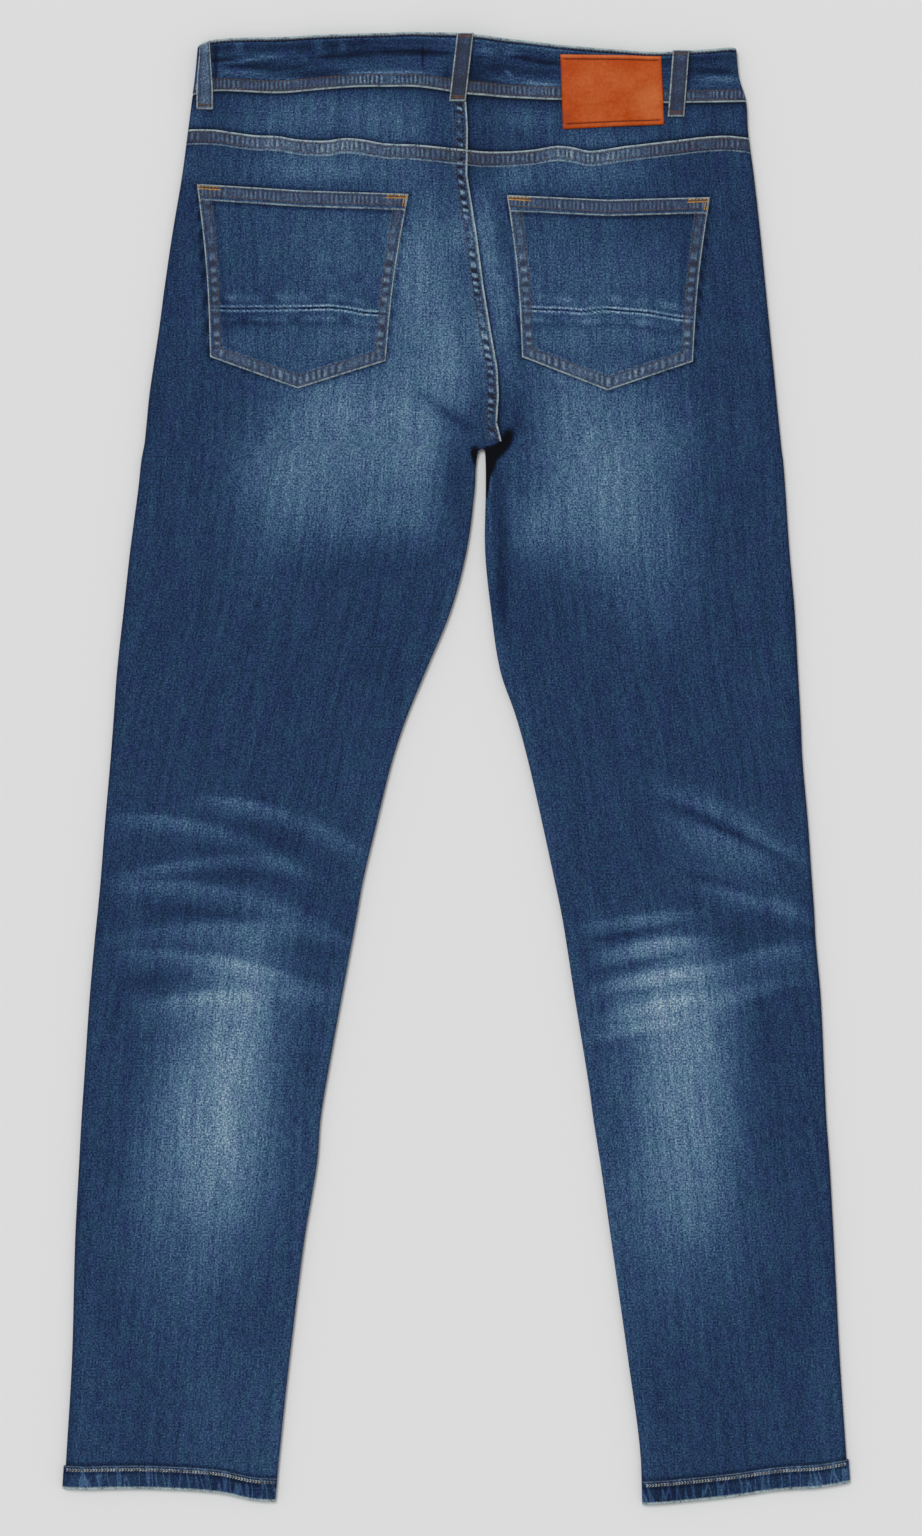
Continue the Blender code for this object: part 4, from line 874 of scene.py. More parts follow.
def upper_lift(side, x, y, d_inner, from_hem, from_yoke, in_hem):
    """How far the hem's turning and the felled seams stand up."""
    lift = np.zeros(x.shape)
    if in_hem:
        lift += HEM_LIFT - 0.22 * bell(from_hem - HEM_ROW, 0.9) - 0.5 * np.exp(-from_hem / 0.35)
        lift += 0.16 * twist(x, from_hem, 7.5) * bell(from_hem - 6.0, 5.0)
    lift += felled(np.abs(from_yoke)) * (from_yoke >= 0.0) * (1.0 + 0.12 * twist(x, from_yoke, 9.0))
    if side == "left":
        seat_fell = felled(d_inner) * np.clip((y - CROTCH_Y) / 12.0, 0.0, 1.0)
        seat_fell = seat_fell * (1.0 + 0.14 * twist(y, d_inner, 8.0))
        on_fell = (y > CROTCH_Y) & (d_inner < 14.0)
        lift = np.where(on_fell, np.maximum(lift, seat_fell), lift)
    return lift


# Where the felled yoke seam has worn pale: its place, its reach along the seam and how much.
YOKE_FELL_WEAR = ((-142.0, 24.0, 0.44), (-88.0, 24.0, 0.52), (-40.0, 18.0, 0.2), (82.0, 16.0, 0.4),
                  (122.0, 22.0, 0.34))


def upper_wear_and_shade(side, x, y, d_outer, d_inner, from_hem, from_yoke):
    """How pale the cloth has faded; painted shade darkens the troughs of its creases and its folded edges,
    painted shadow lines lie beside the seams, the pockets and the waistband, and the crotch hollow is
    painted near black.
    """
    below_yoke, above_crotch = from_yoke >= 0.0, y > CROTCH_Y
    pale = fade_at(BACK_FADES, x, y) + whisker_wear(BACK_WHISKERS, x, y)
    pale += crease_effect(BACK_CREASES, x, y)[1]
    # Painted shade where the cloth turns under at the side fold and, below the crotch, at the inseam.
    pale -= 0.3 * np.exp(-d_outer / 1.4) + 0.1 * np.exp(-d_inner / 1.0) * ~above_crotch
    pale += 0.12 * np.exp(-d_inner / 7.0) * ease((196.0 - y) / 40.0)
    if side == "left":
        hem_pale = 0.1 * (1.0 - ease((x + 290.0) / 120.0))
    else:
        hem_pale = 0.06 * ease((x - 200.0) / 95.0)
    hem_pale = hem_pale - 0.11 - 0.15 * bell(np.abs(x) - 168.0, 24.0)
    pale += hem_pale * (1.0 - ease((from_hem - 15.0) / 3.5))
    pale -= 0.25 * bell(from_hem - 18.8, 1.4) + 0.25 * bell(from_hem - 12.6, 1.2)
    for at, reach, more in YOKE_FELL_WEAR:
        pale += more * bell(x - at, reach) * (below_yoke & (from_yoke < 11.5))
    # A line of painted shadow on the yoke just above the felled yoke seam.
    pale -= (0.4 * bell(from_yoke, 1.8) + 0.04 * bell(from_yoke, 6.0)) * ~below_yoke
    # Painted shadow under the waistband's lower edge.
    below_band = waist_line(x, "bottom") - y
    pale -= 0.4 * bell(below_band, 1.5) + 0.14 * bell(below_band, 6.0)
    # Painted shadow round the pockets' edges.
    pale -= 0.4 * bell(gap_to_pockets(x, y), 1.1)
    if side == "left":
        return pale + 0.04 * ((y > SEAT_FOOT) & (d_inner < 11.0))
    # On the right panel, painted shadow beside the left panel's felled seat seam.
    return pale - (0.4 * bell(d_inner, 1.6) + 0.06 * bell(d_inner, 6.0)) * above_crotch


def upper_seams(side, x, y, d_inner, from_hem, from_yoke):
    """The seam and edge marks of the hem, the yoke seam and, on the left, the seat seam."""
    below_yoke, on_seat = from_yoke >= 0.0, y > SEAT_FOOT
    runs = [hem_run(x, from_hem), (np.where(below_yoke, from_yoke, FAR), x / 3.8, 0.95)]
    edge = np.minimum(from_hem * 0.45, np.abs(from_hem - HEM_HEIGHT) + 0.8)
    yoke_edge = np.minimum(from_yoke * 0.65, np.abs(from_yoke - 11.1) + 0.5)
    edge = np.minimum(edge, np.where(below_yoke, yoke_edge, PLAIN))
    if side == "left":
        narrowed = 5.6 + (d_inner - 5.6) * 1.4
        from_seat = np.where(on_seat & (narrowed < 14.0), narrowed, FAR)
        runs.append((from_seat, (y - d_inner * 0.25) / 6.9, 1.3))
        seat_edge = np.minimum(d_inner * 0.62, np.abs(d_inner - 11.1) + 0.75)
        edge = np.where(on_seat, np.minimum(edge, seat_edge), edge)
    return seam_marks(x, runs), edge


def upper_cloth(name, side, lines):
    """A back leg panel or a yoke, between its side fold and the seat seam or inseam."""
    way = INWARD[side]
    rows = []
    for line in lines:
        x_out, _, y_in, in_hem = row_ends(line, side)
        x_in = inner_end(side, y_in, seat_seam(y_in) - way * 0.03)
        d_outer, width = across_places(x_out, x_in, INNER_STEPS, 68)
        d_inner = width - d_outer
        x = x_out + way * d_outer
        y = line(x)
        from_hem, from_yoke = y - hem_line(side, x), yoke_seam(x) - y
        lift = upper_lift(side, x, y, d_inner, from_hem, from_yoke, in_hem)
        middle = by_level(y, "height") / 2 + 0.02
        flat = turn(np.maximum(0.0, y - CROTCH_Y), CROTCH_DROP) * (y > CROTCH_Y)
        thick = HEM_THICK if in_hem else CLOTH + np.maximum(lift, 0.0)
        face, reverse = turned_wall(x, y, way, d_outer, d_inner, back_height(x, y) + lift, middle,
                                    flat, thick)
        washed = upper_wear_and_shade(side, x, y, d_outer, d_inner, from_hem, from_yoke)
        seam, edge = upper_seams(side, x, y, d_inner, from_hem, from_yoke)
        weave = np.stack([(d_outer - width / 2) * way, y], -1)
        rows.append(ClothRow(face, reverse, washed, seam, edge, weave))
    return shell_of_rows(name, rows)


for side in ("left", "right"):
    panel = upper_cloth("leg_back_" + side, side, back_rows(side))
    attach(panel, "root")
    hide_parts("back_" + side)

# ---------------------------------------------------------------------------------------------
# Back yokes. The two shaped strips between the leg panels and the waistband, cut from the same
# twill and lapped over each other down the seat as the panels are.


def yoke_rows():
    shares = np.concatenate([[0.0, 0.02, 0.05, 0.09], np.linspace(0.13, 0.93, 17), [0.97, 1.0]])
    return rows_between(lambda x: yoke_seam(x) + 0.06, lambda x: waist_line(x, "bottom") - 0.1, shares)


for side in ("left", "right"):
    yoke = upper_cloth("yoke_cloth_" + side, side, yoke_rows())
    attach(yoke, "root")
    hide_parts("yoke_" + side)

# ---------------------------------------------------------------------------------------------
# Front leg panels, face down on the table. The fly of the left one laps over the right one, and
# each is cut away at the hip for its scoop pocket.

FLY_LAP = 8.0
FLY_LENGTH = 165.0
FLY_EASE = 24.0
SCOOP_WIDTH = 98.0
SCOOP_HEIGHT = 74.0
FLY_FOOT = float(front_waist(centre_front(500.0), "bottom")) - FLY_LENGTH
SCOOP_FOOT = {side: float(front_waist(by_level(500.0, side + "_outer"), "bottom")) - SCOOP_HEIGHT
              for side in INWARD}
FRONT_INNER_STEPS = [40, 34, 29, 24, 19, 14, 10.5, 8.0, 6.0, 4.5, 4.0, 3.2, 2.4, 1.7, 1.1, 0.65,
                     0.3, 0.08, 0.0]

FRONT_CREASES = [Crease(*row) for row in (
    (-40, 300, -95, 322, -170, 318, 0.3, 4, 0.2),
    (-32, 272, -90, 286, -160, 276, 0.25, 4, -0.08),
    (-28, 250, -80, 254, -140, 236, 0.3, 4, 0.18),
    (64, 305, 120, 330, 190, 322, 0.3, 4, 0.2),
    (56, 280, 118, 292, 180, 280, 0.25, 4, -0.08),
    (52, 256, 110, 258, 172, 240, 0.3, 4, 0.18),
    (-244, -20, -180, -44, -112, -40, 0.25, 3, 0.16),
    (-250, -66, -190, -78, -100, -98, 0.25, 3, 0.15),
    (-262, -118, -186, -112, -96, -128, 0.2, 3, -0.07),
    (92, -30, 160, -52, 244, -36, 0.25, 3, 0.16),
    (98, -92, 170, -80, 250, -102, 0.25, 3, 0.15),
    (112, -138, 180, -122, 262, -140, 0.2, 3, -0.07),
)]
FRONT_FADES = [Fade(*row) for row in (
    (-128, 150, 62, 150, 0, 0.42),
    (140, 150, 62, 150, 0, 0.42),
    (-170, -90, 60, 85, 0.1, 0.34),
    (182, -90, 60, 85, -0.1, 0.34),
    (-60, 420, 60, 50, 0, 0.14),
    (70, 420, 60, 50, 0, 0.14),
)]


def fly_lap(y):
    return FLY_LAP * ease((np.asarray(y, float) - FLY_FOOT) / FLY_EASE)


def fly_raise(x, y):
    past = x - (centre_front(y) + FLY_LAP + 2.0)
    return (CLOTH + 0.3) * (1.0 - ease(past / 12.0)) * ease((y - (FLY_FOOT - 22.0)) / 20.0)


def scoop_in(side, y):
    t = np.clip((y - SCOOP_FOOT[side]) / SCOOP_HEIGHT, 0.0, 1.0)
    return SCOOP_WIDTH * np.sqrt(1.0 - (1.0 - t) ** 2)


def front_rows(side):
    """Each row's line across a front leg panel, from the hem up to the waistband."""
    foot = SCOOP_FOOT[side]
    levels = np.concatenate([np.arange(HEM_LEVEL, 236.0, 8.0), np.arange(238.0, 256.0, 1.5),
                             np.arange(258.0, foot - 3.0, 6.0),
                             foot + np.array([0.0, 0.25, 0.8, 1.6, 2.7, 4.2, 6.0, 8.5, 11.5, 15.0])])
    return (hem_rows(side, (0.0, 0.4, 1.2, 3.0, 6.0, 9.0, 12.0, 14.6, 16.4, 17.4, 17.8, 19.4, HEM_TOP))
            + rows_between(lambda x: hem_line(side, x) + HEM_TOP, level(HEM_LEVEL), (0.3, 0.65))
            + [level(y) for y in levels]
            + rows_between(level(levels[-1]), lambda x: front_waist(x, "bottom") - 0.1,
                           np.linspace(0.0, 1.0, 17)[1:]))


def front_panel(side):
    way = INWARD[side]
    rows = []
    for line in front_rows(side):
        x_out, y_out, y_in, in_hem = row_ends(line, side)
        scoop = float(scoop_in(side, y_out))
        x_out += way * scoop
        x_in = inner_end(side, y_in, centre_front(y_in) + way * (fly_lap(y_in) - 0.15))
        d_outer, width = across_places(x_out, x_in, FRONT_INNER_STEPS, 34)
        d_inner = width - d_outer
        x = x_out + way * d_outer
        y = line(x)
        depth, toned = crease_effect(FRONT_CREASES, x, y)
        under = held_off(x, y) + np.maximum(depth, 0.0)
        if side == "right":
            under = under + fly_raise(x, y)
        middle = np.maximum(by_level(y, "height") / 2 - 0.02, under + 0.05)
        flat = turn(np.maximum(0.0, y - CROTCH_Y), CROTCH_DROP) * (y > CROTCH_Y)
        face, reverse = turned_wall(x, y, way, d_outer, d_inner, under, middle, flat,
                                    HEM_THICK if in_hem else CLOTH, 0.0 if scoop > 0.0 else 1.0)
        from_hem = y - hem_line(side, x)
        washed = fade_at(FRONT_FADES, x, y) + toned + 0.1 * (1.0 - ease((from_hem - 15.0) / 3.5))
        runs = [hem_run(x, from_hem)]
        edge = np.minimum(from_hem * 0.45, np.abs(from_hem - HEM_HEIGHT) + 0.7)
        if scoop > 0.0:
            runs.append((d_outer, y / 6.0, 0.8))
            edge = np.minimum(edge, d_outer)
        if side == "left" and y_in > FLY_FOOT:
            runs.append((d_inner, y / 6.0, 0.6))
            edge = np.minimum(edge, d_inner)
        weave = np.stack([(d_outer - width / 2) * way, y], -1)
        rows.append(ClothRow(face, reverse, washed, seam_marks(x, runs), edge, weave))
    return shell_of_rows("leg_front_" + side, rows)


for side in ("left", "right"):
    panel = front_panel(side)
    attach(panel, "root")
    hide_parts("front_" + side)

# ---------------------------------------------------------------------------------------------
# Facings of the scoop pockets: the cloth that shows in each scoop, lying behind the front's
# cut-away edge from the side seam to just past it.

FACING_LAP = 14.0  # how far a facing reaches past the edge of its scoop


def pocket_facing(side):
    way = INWARD[side]
    side_x = float(by_level(500.0, side + "_outer"))
    low, high = SCOOP_FOOT[side] + 0.5, float(front_waist(side_x, "bottom")) - 0.3
    rows = []
    for share in np.concatenate([[0.0, 0.01, 0.03, 0.06, 0.1, 0.15], np.linspace(0.2, 1.0, 16)]):
        y_side = low * (1.0 - share) + high * share
        x_out = float(by_level(y_side, side + "_outer"))
        width = float(scoop_in(side, y_side)) + FACING_LAP
        d_outer = np.concatenate([OUTER_TURN, np.linspace(FOLD, width, 24)[1:]])
        x = x_out + way * d_outer
        y = low * (1.0 - share) + (front_waist(x, "bottom") - 0.6) * share
        under = CLOTH + 0.3 + held_off(x, y)
        middle = np.maximum(by_level(y, "height") / 2 - 0.02, under + 0.05)
        face, reverse = turned_wall(x, y, way, d_outer, np.full(x.shape, 99.0), under, middle, 1.0, CLOTH)
        rows.append(ClothRow(face, reverse, 0.12 + 0.08 * np.exp(-d_outer / 20.0), seam_marks(x, []),
                             np.full(x.shape, PLAIN), np.stack([x, y], -1)))
    return shell_of_rows("scoop_facing_" + side, rows)


for side in ("left", "right"):
    facing = pocket_facing(side)
    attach(facing, "root")
    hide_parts("pocket_facing_" + side)

# ---------------------------------------------------------------------------------------------
# Waistband. One doubled strip of twill sewn on right round, folded at both sides, its ends
# lapped at the centre front under the button. Its lower edge has two rows of stitches.

BAND_DEPTH = 40.5
BAND_THICK = 2.4
BAND_TOP = 7.4  # height of its face where nothing holds it up
BAND_TOP_ROW = 37.3
BAND_FOLD = 4.6
UNDERLAP = 32.0
OVERLAP = 10.0
BAND_EDGE = 1.1  # how far in from each edge the strip rounds off

BAND_CREASES = [Crease(*row) for row in (
    (-186, 535.2, -158, 538.6, -130, 542.6, -0.35, 1.4, 0.3),
    (-176, 533.4, -160, 534.6, -138, 536, 0.3, 1.8, -0.16),
    (-188, 538, -177, 538, -165, 539.5, 0.3, 2.6, -0.22),
    (-170, 532.8, -140, 531.6, -108, 534.5, 0.4, 2.6, -0.17),
    (-110, 540, -84, 542.0, -50, 545, 0.5, 2.1, -0.26),
    (-126, 526.5, -108, 527, -92, 529, 0.1, 3.6, -0.16),
    (-120, 546, -96, 548, -70, 550, -0.1, 3.0, -0.08),
    (-100, 524, -89, 526, -78, 527, 0.0, 3.6, -0.13),
    (-55, 545, -28, 544, -2, 542.8, 0.45, 2.0, -0.3),
    (-178, 529, -160, 528.5, -142, 527, -0.3, 3.0, 0.14),
    (-140, 523.6, -128, 523.2, -116, 524, -0.3, 2.2, 0.2),
    (-80, 528.2, -50, 529.4, -16, 528, -0.25, 2.2, 0.22),
    (-165, 554, -164.5, 549, -164, 544, -0.1, 3.2, 0.18),
    (-103.5, 554, -103.5, 549, -104, 544, -0.1, 4.2, 0.2),
    (-85.5, 554, -85.5, 549, -86, 545, -0.1, 3.0, 0.2),
    (-24.7, 549, -24.7, 540, -24.9, 531, 0.2, 0.9, -0.24),
    (13, 545, 21, 545, 29, 544, -0.2, 2.6, 0.22),
    (35, 543, 41, 543.5, 48, 543, -0.2, 2.8, 0.24),
    (34, 543.6, 45, 541.6, 56, 539.0, 0.4, 1.5, -0.26),
    (52, 540, 66, 537.4, 80, 536, 0.45, 1.7, -0.3),
    (12, 527, 25, 528.5, 40, 533, 0.1, 6.5, -0.15),
    (-14, 550, 14, 550, 50, 547, -0.15, 5.0, 0.18),
    (48, 549, 66, 546.5, 86, 544, -0.15, 4.0, 0.18),
    (54, 522, 66, 520.6, 80, 519.4, -0.2, 2.0, 0.2),
    (38, 530, 58, 528.4, 79, 527, 0.1, 3.8, -0.12),
    # Painted shadow on the band beside the centre loop's left side.
    (-5, 536, -7, 526, -9, 517, 0.1, 3.0, -0.14),
    (37.6, 530, 40.5, 528.5, 43.5, 526, -0.15, 1.0, 0.4),
    (20, 525, 48, 523, 74, 520, -0.2, 3.0, 0.12),
    (177, 531, 196, 530, 213, 529.6, 0.4, 2.2, -0.17),
    # Painted shadow on the band beside the centre loop's right side.
    (18, 552, 16, 535, 14, 516, 0.0, 4.5, -0.1),
    (187, 524.5, 200, 524, 213, 523.6, -0.25, 2.2, 0.22),
    # Painted shadows down the right sides of the three back loops.
    (-182.2, 552, -182.1, 532, -182, 513, 0.0, 1.3, -0.25),
    (13.8, 556, 12, 537, 9.8, 514, 0.0, 1.3, -0.2),
    (178.6, 546, 177.4, 527, 176, 508, 0.0, 1.3, -0.2),
)]
BAND_CREASE_GAIN = 1.6  # the thick band shows its creases this much more than one cloth does
WAIST_SIDE_LOW = {"left": 511.5, "right": 507.0}
WAIST_SIDE_HIGH = 548.0
BAND_UPS = [0.0, 0.1, 0.35, 0.7, 1.15, 1.8, 2.6, 3.6, 4.8, 6.0, 7.2, 8.2, 9.1, 9.9, 10.8, 12.0, 13.4,
            15.2, 17.4, 19.6, 21.8, 24.0, 26.2, 28.4, 30.6, 32.6, 34.4, 35.6, 36.4, 37.0, 37.6, 38.2,
            38.9, 39.4, 39.8, 40.15, 40.4, BAND_DEPTH]


def band_side(side, up):
    return float(by_level(WAIST_SIDE_LOW[side] * (1.0 - up) + WAIST_SIDE_HIGH * up, side + "_outer"))


def band_row(depth_up):
    """Places round the waistband so far up it: the points of its face and of its reverse."""
    up = depth_up / BAND_DEPTH
    centre = float(centre_front(500.0))
    right, left = band_side("right", up), band_side("left", up)
    places, backs = [], []
    near_edge = min(depth_up, BAND_DEPTH - depth_up)
    round_off = BAND_THICK / 2 * (1.0 - float(turn(near_edge, BAND_EDGE)))
    wall = BAND_THICK - 2 * round_off

    def add(x, y, outer, inner, x_inner=None):
        places.append(np.stack([x, y, outer], -1))
        backs.append(np.stack([x if x_inner is None else x_inner, y, inner], -1))

    x = np.linspace(centre - UNDERLAP, right - BAND_FOLD, 84)[:-1]
    past = x - centre - OVERLAP - 3.0
    y = on_band(front_waist, x, up)
    face = held_off(x, y) + (BAND_THICK + 0.5) * (1.0 - ease(past / 24.0)) + round_off
    add(x, y, face, face + wall)
    for side, edge in (("right", right), ("left", left)):
        if side == "left":
            x = np.linspace(right - BAND_FOLD, left + BAND_FOLD, 270)
            y = on_band(waist_line, x, up)
            depth, _ = crease_effect(BAND_CREASES, x, y)
            face = BAND_TOP + held_off(x, y) + held_by_lap(x, y) - depth + 0.7 * slack(x, y)
            for row_up in (*ROWS, BAND_TOP_ROW):
                face = face - 0.28 * bell(depth_up - row_up, 0.8)
            face = face + 0.14 * twist(x, depth_up, 6.5) * bell(depth_up - 5.6, 3.0) - round_off
            add(x, y, face, face - wall)
        angle = np.linspace(0.0, math.pi, 15)
        angle = angle[:-1] if side == "right" else angle[::-1][1:]
        middle = BAND_TOP / 2
        reach = 1.0 - np.sin(angle)
        way = INWARD[side]
        x = edge + way * (BAND_FOLD * reach + round_off * (1.0 - reach))
        x_inner = edge + way * (BAND_THICK + (BAND_FOLD - BAND_THICK) * reach - round_off * (1.0 - reach))
        over = (1.0 - np.cos(angle)) / 2
        y = on_band(front_waist, x, up) * (1.0 - over) + on_band(waist_line, x, up) * over
        add(x, y, middle - np.cos(angle) * (middle - round_off),
            middle - np.cos(angle) * (middle - BAND_THICK + round_off), x_inner)
    x = np.linspace(left + BAND_FOLD, centre + OVERLAP, 84)[1:]
    y = on_band(front_waist, x, up)
    face = held_off(x, y) + round_off
    add(x, y, face, face + wall)
    return np.concatenate(places), np.concatenate(backs)


def band_wear_and_shade(depth_up, x, y, on_back):
    """How pale the waistband has faded; painted shade darkens the troughs of its creases and painted shadow
    lies beside the belt loops.
    """
    _, toned = crease_effect(BAND_CREASES, x, y)
    pale = 0.05 + BAND_CREASE_GAIN * toned * on_back + 0.08 * bell(depth_up - 16.0, 4.0)
    pale += 0.16 * bell(depth_up - 5.6, 4.0) - 0.45 * bell(depth_up - 37.6, 0.7)
    pale += 0.22 * bell(depth_up - 36.3, 0.6) - 0.14 * bell(depth_up - 33.0, 3.0)
    if depth_up < 12.0:
        pale += 0.2 * bell(x + 52.0, 38.0) + 0.14 * bell(x - 62.0, 14.0)
        pale -= 0.16 * bell(x - 22.0, 15.0) * on_back
    return pale


rows = []
for depth_up in BAND_UPS:
    face, reverse = band_row(depth_up)
    x, y, z = face.T
    on_back = z > BAND_TOP / 2
    steps = np.hypot(np.diff(x), np.hypot(np.diff(y), np.diff(z)))
    round_waist = np.concatenate([[0.0], np.cumsum(steps)])
    depths = np.full(x.shape, depth_up)
    roped = 0.9 + 0.2 * bell(x + 50.0, 40.0) * on_back
    edge = np.minimum(depths * 0.7, (BAND_DEPTH - depths) * 0.48)
    rows.append(ClothRow(face, reverse, band_wear_and_shade(depth_up, x, y, on_back),
                         np.stack([depths, x / 3.2, roped], -1), edge,
                         np.stack([depths, round_waist], -1)))
band = shell_of_rows("waistband_cloth", rows)
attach(band, "root")
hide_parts("waistband")

# ---------------------------------------------------------------------------------------------
# Back pockets. Two patch pockets pointed at the bottom, hemmed along the top and turned in round
# the rest, laid on the panels and sewn round with two rows. A pressed line crosses each one.

POCKET_HEM = 11.6
POCKET_TURN = 10.4
POCKET_ROWS = (1.8, 9.8)
POCKET_HEM_ROWS = (1.8, 9.6)
FOOT_SLOPE = 0.945  # distance to the slanting foot for each millimetre straight down
Press = namedtuple("Press", "x y")
POCKET_FADES = [Fade(*row) for row in (
    (-94, 395, 36, 32, 0, 0.12),
    (-150, 375, 40, 60, 0, -0.03),
    (-84, 318, 30, 12, 0, 0.08),
    (156, 420, 36, 20, 0, -0.13),
    (172, 386, 11, 28, 0, -0.08),
    (-80, 356, 18, 5, 0, -0.13),
    (-78, 334, 15, 7, 0, 0.12),
    (-61, 326, 9, 9, 0, 0.1),
    (112, 374, 54, 18, 0, 0.08),
    (-50, 388, 11, 36, 0.1, 0.18),
    (50, 384, 11, 34, -0.1, 0.2),
    (-166, 346, 22, 16, 0, -0.17),
    (-116, 301, 22, 9, 0, 0.14),
    (119, 300, 28, 10, 0, 0.2),
    (112, 338, 34, 14, 0, 0.12),
    (80, 316, 26, 14, 0, 0.1),
    (76, 392, 26, 30, 0, 0.05),
)]
PRESS_LINES = {
    "back_pocket_left": [Press(*row) for row in (
        (-190, 350.0), (-160, 349.6), (-117, 350.0), (-95, 350.6), (-82, 349.2), (-70, 346.8),
        (-48, 345.2))],
    "back_pocket_right": [Press(*row) for row in (
        (46, 350.0), (80, 348.6), (97, 347.3), (113, 349.4), (146, 346.6), (170, 342.4),
        (186, 341.0))],
}


def pocket_place(pocket, u, v):
    """Place on a pocket at a share across and a share down it, with its width and depth there."""
    y_high = np.interp(u, [0.0, 0.5, 1.0], [pocket.y_tl, pocket.y_top, pocket.y_tr])
    y_low = np.interp(u, [0.0, 0.5, 1.0], [pocket.y_bl, pocket.y_tip, pocket.y_br])
    curve = 2.2 * np.sin(np.pi * v)
    x_left = pocket.x_tl * (1.0 - v) + pocket.x_bl * v + curve
    x_right = pocket.x_tr * (1.0 - v) + pocket.x_br * v - curve
    x = x_left * (1.0 - u) + x_right * u
    return x, y_high * (1.0 - v) + y_low * v, x_right - x_left, y_high - y_low


def patch_pocket(pocket):
    wide, tall = pocket.x_tr - pocket.x_tl, pocket.y_top - pocket.y_tip
    side_steps = np.array([0, 0.12, 0.4, 0.8, 1.3, 1.9, 2.6, 3.6, 5.0, 6.4, 7.8, 9.0, 9.7, 10.4, 11.0,
                           11.6, 12.6, 14.5]) / wide
    shares_across = np.concatenate([side_steps, np.linspace(side_steps[-1], 0.5, 17)[1:]])
    shares_across = np.concatenate([shares_across, 1.0 - shares_across[-2::-1]])
    top_steps = np.array([0, 0.12, 0.4, 0.8, 1.3, 2.0, 3.0, 4.4, 6.0, 7.6, 9.0, 10.0, 10.7, 11.4, 12.0,
                          12.4, 13.0, 14.0, 16.0]) / tall
    foot_steps = np.array([15.0, 13.0, 11.6, 11.0, 10.4, 9.7, 9.0, 7.8, 6.4, 5.0, 3.6, 2.6, 1.9, 1.3, 0.8,
                           0.4, 0.12, 0.0]) / tall
    near_press = np.linspace(0.555, 0.765, 40)
    shares_down = np.concatenate([top_steps, np.linspace(top_steps[-1], near_press[0], 22)[1:],
                                  near_press[1:],
                                  np.linspace(near_press[-1], 1.0 - foot_steps[0], 6)[1:-1],
                                  1.0 - foot_steps])
    u, v = np.meshgrid(shares_across, shares_down)
    x, y, width, depth = pocket_place(pocket, u, v)
    d_side = np.minimum(u, 1.0 - u) * width
    d_top = v * depth
    d_foot = (1.0 - v) * depth * FOOT_SLOPE
    d_turned = np.minimum(d_side, d_foot)
    in_turn = 1.0 - ease((d_turned - POCKET_TURN) / 1.0)
    in_hem = 1.0 - ease((d_top - POCKET_HEM) / 0.7)
    lift = np.maximum(0.55 * in_turn, 0.8 * in_hem)
    for row in POCKET_ROWS:
        lift -= 0.26 * bell(d_turned - row, 0.8) * (1.0 - in_hem)
    for row in POCKET_HEM_ROWS:
        lift -= 0.24 * bell(d_top - row, 0.8)
    run = np.where(d_side < d_foot, y, x)
    lift += 0.2 * twist(run, d_turned, 5.5) * bell(d_turned - 6.0, 3.2) * (1.0 - in_hem)
    off = y - np.interp(x, *zip(*PRESS_LINES[pocket.name]))
    inside = 0.4 * ease((d_side - 0.8) / 1.5) + 0.6 * ease((d_side - 8.5) / 2.0)
    ridges = bell(off - 1.5, 0.75) + bell(off + 1.5, 0.75)
    groove = bell(off, 0.75)
    lift += (0.38 * ridges - 0.4 * groove) * inside
    base = back_height(x, y) + 0.35
    edge_round = turn(np.minimum(d_turned, d_top), 0.9)
    face = base + 0.25 + (CLOTH - 0.25 + lift) * edge_round
    puff = 0.35 * np.sin(np.pi * np.clip((d_side - 12.0) / 60.0, 0.0, 0.5)) * np.sin(np.pi * v)
    face += puff
    faces = np.stack([x, y, face], -1)
    reverses = np.stack([x, y, base], -1)

    pale = fade_at(POCKET_FADES, x, y) + 0.12
    pale += 0.07 * bell(y - 325.0, 14.0)
    dashes = 0.75 + 0.25 * np.sin(math.tau * x / 2.4)
    pale += (1.0 * ridges - 0.95 * groove * dashes) * inside
    blots = 0.5 + 0.4 * np.sin(x / 6.5 + 0.2 * off) + 0.3 * np.sin(x / 3.1)
    pale += 0.34 * bell(off - 8.0, 3.0) * inside * blots
    pale += 0.32 * bell(off + 8.0, 2.2) * inside * (blots - 0.2)
    pale -= 0.14 * bell(off + 11.5, 2.0) * inside
    # Painted shadow on the pocket just under its hem band.
    pale -= 0.35 * bell(d_top - 13.3, 1.4)
    pale -= 0.1 * bell(d_turned - 12.0, 1.8) * (1.0 - in_hem)
    on_side = d_side < d_foot
    pale += np.where(on_side, 0.02, 0.14) * in_turn + 0.08 * in_hem
    on_hem = d_top < POCKET_HEM + 0.2
    pitch = np.where(on_side, 8.2, 5.0)
    narrowed = 5.8 + (d_turned - 5.8) * np.where(on_side, 1.3, 1.0)
    seam = np.stack([np.where(on_hem, d_top * ROWS[1] / POCKET_HEM_ROWS[1], narrowed),
                     np.where(on_hem, x / 3.4, run / pitch),
                     np.where(on_hem, 0.8, np.where(on_side, 0.98, 0.9))], -1)
    edge = np.minimum(np.minimum(d_turned * 0.85, d_top * 0.75), np.abs(d_top - POCKET_HEM - 0.3) + 0.4)
    marks = {"washed": pale, "seam": seam, "edge": edge}
    return cloth_shell(pocket.name.replace("back_", "") + "_cloth", faces, reverses, marks,
                       np.stack([x, y], -1), denim)


for pocket in POCKETS:
    cloth = patch_pocket(pocket)
    side = pocket.name.split("_")[-1]
    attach(cloth, "root")
    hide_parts(pocket.name)

# ---------------------------------------------------------------------------------------------
# Belt loops. Narrow folded strips over the waistband, turned under and barred at each end: three
# across the back and two on the front. They rest on whatever lies below them.

